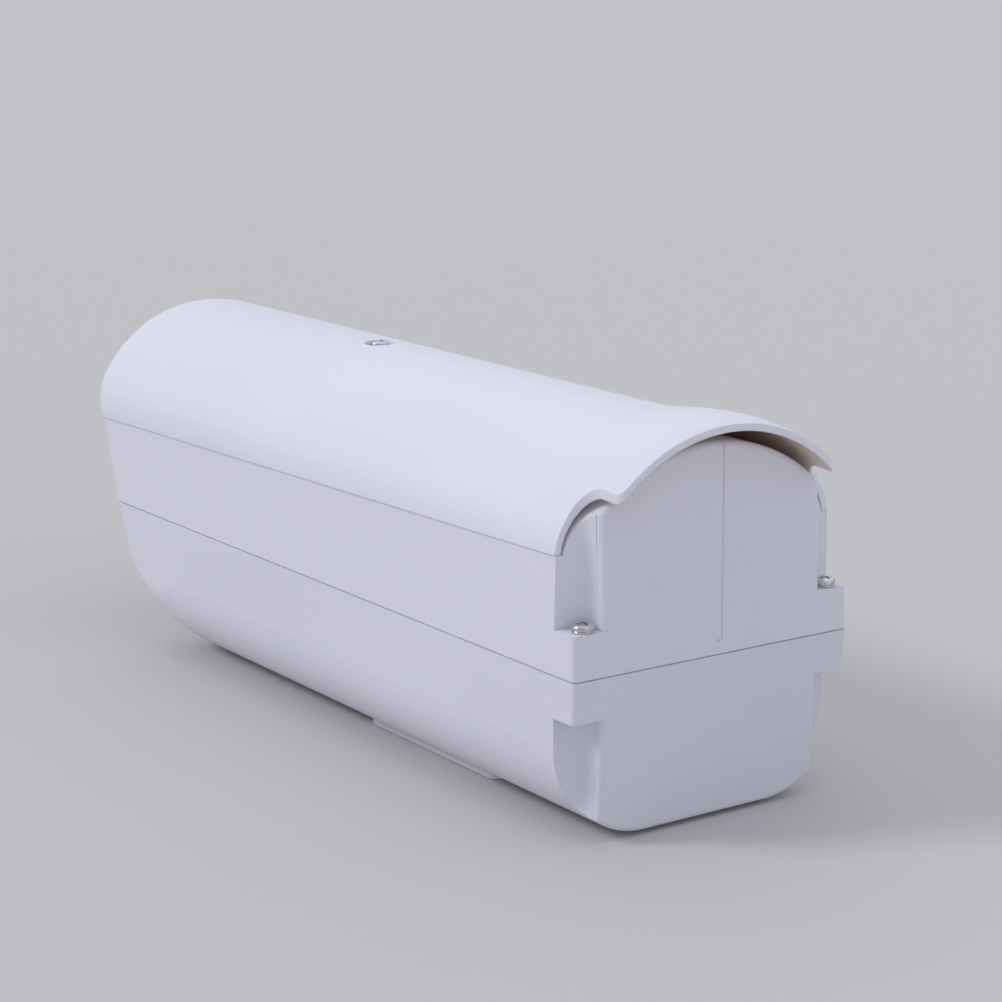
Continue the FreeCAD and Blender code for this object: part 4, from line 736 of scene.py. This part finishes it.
@dataclass
class PanScrew:
    """A pan-head screw with a cross recess and a rolled thread.

    Attributes:
        node: the CAD node that it stands for.
        core: radius of the shank under its thread.
        thread: radius over the thread.
        pitch: the thread's pitch.
        head: radius of the head.
        height: height of the head.
        crown: the head's height above its straight rim, as a share of its height.
        flatness: the power that draws the crown's ring outwards.
        fullness: the power that lifts the crown's shoulder.
        edge: chamfer under the head's rim.
        fillet: where the shank meets the head.
        facets: the number of facets round the axis.
        recess: the cross in the head.
        facing: which way the head looks.
    """

    node: str
    core: float = 1.6 * MM
    thread: float = 1.98 * MM
    pitch: float = 0.7 * MM
    head: float = 4.0 * MM
    height: float = 2.6 * MM
    crown: float = 0.62
    flatness: float = 0.72
    fullness: float = 0.95
    edge: float = 0.25 * MM
    fillet: float = 0.2 * MM
    facets: int = 48
    recess: CrossRecess = CrossRecess()
    facing: Facing = Facing.UP

    def build(self, shop: Workshop) -> None:
        """Make the screw in its node's place.

        Args:
            shop: the workshop.
        """
        low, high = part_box(self.node)
        along = 2 if self.facing is Facing.UP else 1
        length = high[along] - low[along]
        cad_head = shop.head_height(self.node)
        shank = length - cad_head
        lead, run_out = self.core * 0.6, self.core * 0.4
        mesh = turned(self._profile(shank), self.facets)
        self._sink_cross(mesh)
        HelixRidge(self.core, self.thread, self.pitch, lead - shank, -run_out).wind(mesh)
        seat = (Vector(low) + Vector(high)) / 2.0
        seat[along] = high[along] - cad_head
        bmesh.ops.recalc_face_normals(mesh, faces=mesh.faces)
        bmesh.ops.transform(mesh, matrix=Matrix.Translation(seat) @ self.facing.value, verts=mesh.verts)
        shop.add(f"{self.node}_turned", mesh, shop.body_of(self.node), BRIGHT_STEEL, self.node, smooth=40.0)

    def _profile(self, shank: float) -> list[tuple[float, float]]:
        """Outline of the screw from the top of its head down to its tip.

        Args:
            shank: the shank's length.

        Returns:
            Distances from the axis and heights.
        """
        rim = self.height * (1.0 - self.crown)
        crown_steps = 12
        points = []
        for step in range(crown_steps + 1):
            turn = math.pi / 2 * (1.0 - step / crown_steps)
            points.append((self.head * math.cos(turn) ** self.flatness, self._crown_at(turn, rim)))
        arm = self.head * self.recess.reach
        points.append((arm, self._crown_at(math.acos((arm / self.head) ** (1.0 / self.flatness)), rim)))
        points.sort(key=lambda point: point[0])
        tip, chamfer = self.core * 0.55, self.core * 0.5
        points += [(self.head, self.edge), (self.head - self.edge, 0.0), (self.core + self.fillet, 0.0),
                   (self.core, -self.fillet), (self.core, -shank + chamfer), (tip, -shank), (0.0, -shank)]
        return points

    def _crown_at(self, turn: float, rim: float) -> float:
        """Height of the crown where its curve has turned this far up from the rim."""
        return rim + (self.height - rim) * math.sin(turn) ** self.fullness

    def _sink_cross(self, mesh: bmesh.types.BMesh) -> None:
        """Sink the cross recess into the head.

        Args:
            mesh: the screw's mesh.
        """
        arm, half = self.head * self.recess.reach, self.head * self.recess.half_width
        above_rim = self.height * 0.3

        def inner_faces() -> list[bmesh.types.BMFace]:
            """Faces of the crown within the arms' reach."""
            return [face for face in mesh.faces if face.calc_center_median().z > above_rim
                    and all(point.co.xy.length < arm + NEAR for point in face.verts)]

        for normal in ((1.0, 0.0, 0.0), (0.0, 1.0, 0.0)):
            for side in (-half, half):
                faces = inner_faces()
                edges = {edge for face in faces for edge in face.edges}
                points = {point for face in faces for point in face.verts}
                bmesh.ops.bisect_plane(mesh, geom=[*faces, *edges, *points], plane_co=Vector(normal) * side,
                                       plane_no=normal, dist=NEAR / 10)
        cross = [face for face in inner_faces()
                 if min(abs(face.calc_center_median().x), abs(face.calc_center_median().y)) < half]
        made = bmesh.ops.extrude_face_region(mesh, geom=cross)
        bmesh.ops.delete(mesh, geom=[face for face in cross if face.is_valid], context="FACES_ONLY")
        for point in made["geom"]:
            if isinstance(point, bmesh.types.BMVert):
                away = point.co.xy.length
                point.co.z = self.height * self.recess.floor + away * self.recess.slope
                point.co.x *= self.recess.taper
                point.co.y *= self.recess.taper


@dataclass
class Washer:
    """A flat washer with rolled edges.

    Attributes:
        node: the CAD node that it stands for.
        bore: radius of its hole.
        rolled: how far its edges are rolled, as a share of its thickness.
        facets: the number of facets round the axis.
    """

    node: str
    bore: float = 2.2 * MM
    rolled: float = 0.28
    facets: int = 56

    def build(self, shop: Workshop) -> None:
        """Make the washer in its node's place.

        Args:
            shop: the workshop.
        """
        low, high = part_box(self.node)
        outer = (high[0] - low[0]) / 2.0
        thick = high[2] - low[2]
        roll = thick * self.rolled
        mesh = turned([(self.bore, roll), (self.bore + roll, 0.0), (outer - roll, 0.0), (outer, roll),
                       (outer, thick - roll), (outer - roll, thick), (self.bore + roll, thick),
                       (self.bore, thick - roll), (self.bore, roll)], self.facets)
        place = Matrix.Translation(((low[0] + high[0]) / 2.0, (low[1] + high[1]) / 2.0, low[2]))
        bmesh.ops.transform(mesh, matrix=place, verts=mesh.verts)
        shop.add(f"{self.node}_pressed", mesh, shop.body_of(self.node), BRIGHT_STEEL, self.node, smooth=50.0)


@dataclass
class BrassInsert:
    """A heat-set insert: two knurled bands, a groove between them and a thread in its bore.

    Attributes:
        node: the CAD node that it stands for.
        bore: radius of its hole.
        pitch: the thread's pitch.
        threaded: whether the thread shows; it is left out where a screw fills the bore.
        sunk: how far its upper end lies under the boss, clear of what slides over it.
        neck_depth: how deep the groove is.
        lead: chamfer at both ends.
        half_groove: half the groove's width, as a share of the length.
        groove_floor: the groove's floor, as a share of its width.
        knurl: how deep the knurls are, as a share of the radius.
        thread_depth: how far the thread stands into the bore.
        facets: the number of facets round the axis, two to a knurl.
    """

    node: str
    bore: float = 2.05 * MM
    pitch: float = 0.7 * MM
    threaded: bool = False
    sunk: float = 0.1 * MM
    neck_depth: float = 0.35 * MM
    lead: float = 0.3 * MM
    half_groove: float = 0.12
    groove_floor: float = 0.6
    knurl: float = 0.045
    thread_depth: float = 0.4 * MM
    facets: int = 56

    def build(self, shop: Workshop) -> None:
        """Make the insert in its node's place.

        Args:
            shop: the workshop.
        """
        low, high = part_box(self.node)
        outer = (high[0] - low[0]) / 2.0
        long = high[2] - low[2] - self.sunk
        neck, lead, groove = outer - self.neck_depth, self.lead, long * self.half_groove
        floor = groove * self.groove_floor
        mesh = turned([(self.bore + lead, 0.0), (outer - lead, 0.0), (outer, lead),
                       (outer, long / 2 - groove), (neck, long / 2 - floor), (neck, long / 2 + floor),
                       (outer, long / 2 + groove), (outer, long - lead), (outer - lead, long),
                       (self.bore + lead, long), (self.bore, long - lead), (self.bore, lead),
                       (self.bore + lead, 0.0)], self.facets)
        for point in mesh.verts:
            if point.co.xy.length > outer - NEAR:
                ridge = round(math.atan2(point.co.y, point.co.x) / math.tau * self.facets) % 2
                point.co.xy = point.co.xy * (1.0 - self.knurl * ridge)
        if self.threaded:
            crest = self.bore - self.thread_depth
            HelixRidge(self.bore, crest, self.pitch, lead, long - lead, steps=24).wind(mesh)
        bmesh.ops.recalc_face_normals(mesh, faces=mesh.faces)
        place = Matrix.Translation(((low[0] + high[0]) / 2.0, (low[1] + high[1]) / 2.0, low[2]))
        bmesh.ops.transform(mesh, matrix=place, verts=mesh.verts)
        shop.add(f"{self.node}_knurled", mesh, shop.body_of(self.node), INSERT_BRASS, self.node, smooth=25.0)


@dataclass
class CameraScrew:
    """The captive quarter-inch screw with its fluted knob.

    Attributes:
        node: the CAD node that it stands for.
        neck: radius of the neck under the thread.
        thread: radius over the thread.
        pitch: the thread's pitch.
        knob_height: height of the knob.
        flutes: flutes round the knob.
        facets: facets to a flute.
        roll: rounding of the knob's edges.
        dish: how deep the knob's end is dished.
        dish_share: radius of the dish's floor, as a share of the knob's.
        dish_mouth: radius of its mouth, as a share of the knob's.
        flute_depth: how deep the flutes are, as a share of the radius.
        chamfer: height of the point's chamfer.
        point: how far the point narrows.
        thread_length: length of the thread with its run-out.
        run_out: plain length at the point.
    """

    node: str = "camera_screw"
    neck: float = 2.6 * MM
    thread: float = 3.175 * MM
    pitch: float = 1.27 * MM
    knob_height: float = 4.0 * MM
    flutes: int = 24
    facets: int = 4
    roll: float = 0.5 * MM
    dish: float = 0.9 * MM
    dish_share: float = 0.55
    dish_mouth: float = 0.6
    flute_depth: float = 0.05
    chamfer: float = 0.6 * MM
    point: float = 0.5 * MM
    thread_length: float = 6.2 * MM
    run_out: float = 0.2 * MM

    def build(self, shop: Workshop) -> None:
        """Make the screw in its node's place.

        Args:
            shop: the workshop.
        """
        low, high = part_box(self.node)
        knob = (high[1] - low[1]) / 2.0
        long = high[2] - low[2]
        roll = self.roll
        mesh = turned([(0.0, self.dish), (knob * self.dish_share, self.dish), (knob * self.dish_mouth, 0.0),
                       (knob - roll, 0.0), (knob, roll), (knob, self.knob_height - roll),
                       (knob - roll, self.knob_height), (self.neck, self.knob_height),
                       (self.neck, long - self.chamfer), (self.neck - self.point, long), (0.0, long)],
                      self.flutes * self.facets)
        inside_roll = knob - roll * 1.1
        for point in mesh.verts:
            if point.co.xy.length > inside_roll and point.co.z < self.knob_height + roll:
                wave = 0.5 + 0.5 * math.cos(math.atan2(point.co.y, point.co.x) * self.flutes)
                point.co.xy = point.co.xy * (1.0 - self.flute_depth * wave)
        HelixRidge(self.neck, self.thread, self.pitch, long - self.thread_length, long - self.run_out,
                   steps=32).wind(mesh)
        bmesh.ops.recalc_face_normals(mesh, faces=mesh.faces)
        place = Matrix.Translation(((low[0] + high[0]) / 2.0, (low[1] + high[1]) / 2.0, low[2]))
        bmesh.ops.transform(mesh, matrix=place, verts=mesh.verts)
        shop.add("camera_screw_turned", mesh, shop.body_of(self.node), BRIGHT_STEEL, self.node, smooth=35.0)


@dataclass
class Fasteners:
    """Screws, washers and inserts.

    Attributes:
        shop: the workshop.
        bracket_bore: radius of the bores for the bracket's M5 screws.
        bracket_pitch: pitch of those screws.
        small: sizes of the M3 screws that hold the window.
    """

    shop: Workshop
    bracket_bore: float = 2.5 * MM
    bracket_pitch: float = 0.8 * MM
    small: dict[str, float] = field(default_factory=lambda: {
        "core": 1.2 * MM, "thread": 1.5 * MM, "pitch": 0.5 * MM, "head": 2.8 * MM, "height": 1.9 * MM})

    def build(self) -> None:
        """Make every screw, washer and insert, and dress the rest of the metal."""
        for side in ("left", "right"):
            PanScrew(f"cover_screw_{side}").build(self.shop)
            Washer(f"cover_washer_{side}").build(self.shop)
            BrassInsert(f"cover_insert_{side}").build(self.shop)
        for end in ("front", "rear"):
            PanScrew(f"sled_screw_{end}").build(self.shop)
            Washer(f"sled_washer_{end}").build(self.shop)
            BrassInsert(f"sled_insert_{end}").build(self.shop)
        PanScrew("sunshield_screw", height=2.1 * MM).build(self.shop)
        Washer("sunshield_washer").build(self.shop)
        BrassInsert("sunshield_insert").build(self.shop)
        for number in range(1, 5):
            PanScrew(f"retainer_screw_{number}", facing=Facing.BACK, **self.small).build(self.shop)
            BrassInsert(f"bracket_insert_{number}", bore=self.bracket_bore, pitch=self.bracket_pitch,
                        threaded=True).build(self.shop)
        CameraScrew().build(self.shop)
        Washer("camera_screw_washer", bore=3.25 * MM).build(self.shop)
        Washer("camera_screw_clip", bore=2.62 * MM).build(self.shop)
        self.shop.dress_nodes(SLED_SHEET, "camera_sled")


@dataclass(frozen=True)
class Studio:
    """Pale floor, soft lights and the camera.

    Attributes:
        floor_reach: half the floor's width, in metres.
        floor_tone: the floor's grey.
        floor_gap: how far the floor lies under the mounting pad's face.
        camera_place: where the camera stands, in metres.
        azimuth: degrees round the object.
        elevation: degrees above the horizon.
        roll: degrees about the line of sight.
        lens: focal length, in millimetres.
        film: width of the camera's frame, in millimetres.
    """

    floor_reach: float = 30.0
    floor_tone: float = 0.58
    floor_gap: float = 0.2 * MM
    camera_place: tuple[float, float, float] = (0.5674, 0.7908, 0.3171)
    azimuth: float = 144.622
    elevation: float = 12.866
    roll: float = 0.325
    lens: float = 91.72
    film: float = 36.0

    def build(self) -> None:
        """Set up the whole studio."""
        self._floor()
        self._lights()
        self._camera()
        bpy.context.scene.view_settings.view_transform = "Standard"

    def _floor(self) -> None:
        """Lay the floor just under the mounting pad's face."""
        mesh = bmesh.new()
        bmesh.ops.create_grid(mesh, x_segments=1, y_segments=1, size=self.floor_reach)
        data = bpy.data.meshes.new("studio_floor")
        mesh.to_mesh(data)
        mesh.free()
        floor = bpy.data.objects.new("studio_floor", data)
        floor.location.z = -self.floor_gap
        bpy.context.scene.collection.objects.link(floor)
        material = bpy.data.materials.new("floor_paper")
        material.use_nodes = True
        shader = material.node_tree.nodes["Principled BSDF"]
        shader.inputs["Base Color"].default_value = (self.floor_tone, self.floor_tone, self.floor_tone, 1.0)
        shader.inputs["Roughness"].default_value = 0.9
        data.materials.append(material)

    def _lights(self) -> None:
        """Place the three soft suns and the pale surroundings."""
        self._soft_sun("key_light", (1.3, -0.72, 1.1), 16.0, 1.05, (1.0, 0.99, 0.98))
        self._soft_sun("overhead_light", (-0.6, -0.4, 1.6), 90.0, 0.62, (0.97, 0.98, 1.0))
        self._soft_sun("rear_light", (-0.2, 1.5, 0.4), 60.0, 0.2, (1.0, 0.98, 0.98))
        world = bpy.data.worlds.new("studio_air")
        world.use_nodes = True
        back = world.node_tree.nodes["Background"]
        back.inputs["Color"].default_value = (0.90, 0.92, 1.0, 1.0)
        back.inputs["Strength"].default_value = 0.55
        bpy.context.scene.world = world

    def _soft_sun(self, name: str, towards: tuple[float, float, float], spread: float, strength: float,
                  tint: tuple[float, float, float]) -> None:
        """Hang one wide, distant light, which lights the floor evenly.

        Args:
            name: the light's name.
            towards: the direction that it hangs in.
            spread: its width in the sky, in degrees.
            strength: its power on a face turned to it, in watts a square metre.
            tint: its colour.
        """
        light = bpy.data.lights.new(name, "SUN")
        light.angle = math.radians(spread)
        light.energy = strength
        light.color = tint
        lamp = bpy.data.objects.new(name, light)
        lamp.location = towards
        lamp.rotation_euler = (-Vector(towards)).to_track_quat("-Z", "Y").to_euler()
        bpy.context.scene.collection.objects.link(lamp)

    def _camera(self) -> None:
        """Set the camera where the photograph was taken from."""
        lens = bpy.data.cameras.new("view")
        lens.sensor_width = self.film
        lens.lens = self.lens
        lens.clip_start = 0.01
        lens.clip_end = 100.0
        camera = bpy.data.objects.new("view", lens)
        turn, tilt, roll = (math.radians(value) for value in (self.azimuth, self.elevation, self.roll))
        back = Vector((math.sin(turn) * math.cos(tilt), -math.cos(turn) * math.cos(tilt), math.sin(tilt)))
        level = back.cross(Vector((0.0, 0.0, 1.0))).normalized() * -1.0
        upright = back.cross(level)
        right = level * math.cos(roll) + upright * math.sin(roll)
        up = upright * math.cos(roll) - level * math.sin(roll)
        facing = Matrix((right, up, back)).transposed().to_4x4()
        camera.matrix_world = Matrix.Translation(self.camera_place) @ facing
        bpy.context.scene.collection.objects.link(camera)
        bpy.context.scene.camera = camera


def main() -> None:
    """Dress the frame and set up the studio."""
    logging.basicConfig(level=logging.INFO, format="%(name)s %(message)s")
    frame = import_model()
    shop = Workshop(frame)
    for part in (Shells(shop), WindowSet(shop), Fasteners(shop)):
        part.build()
        LOG.info("%s done", type(part).__name__)
    Studio().build()


if __name__ == "__main__":
    main()
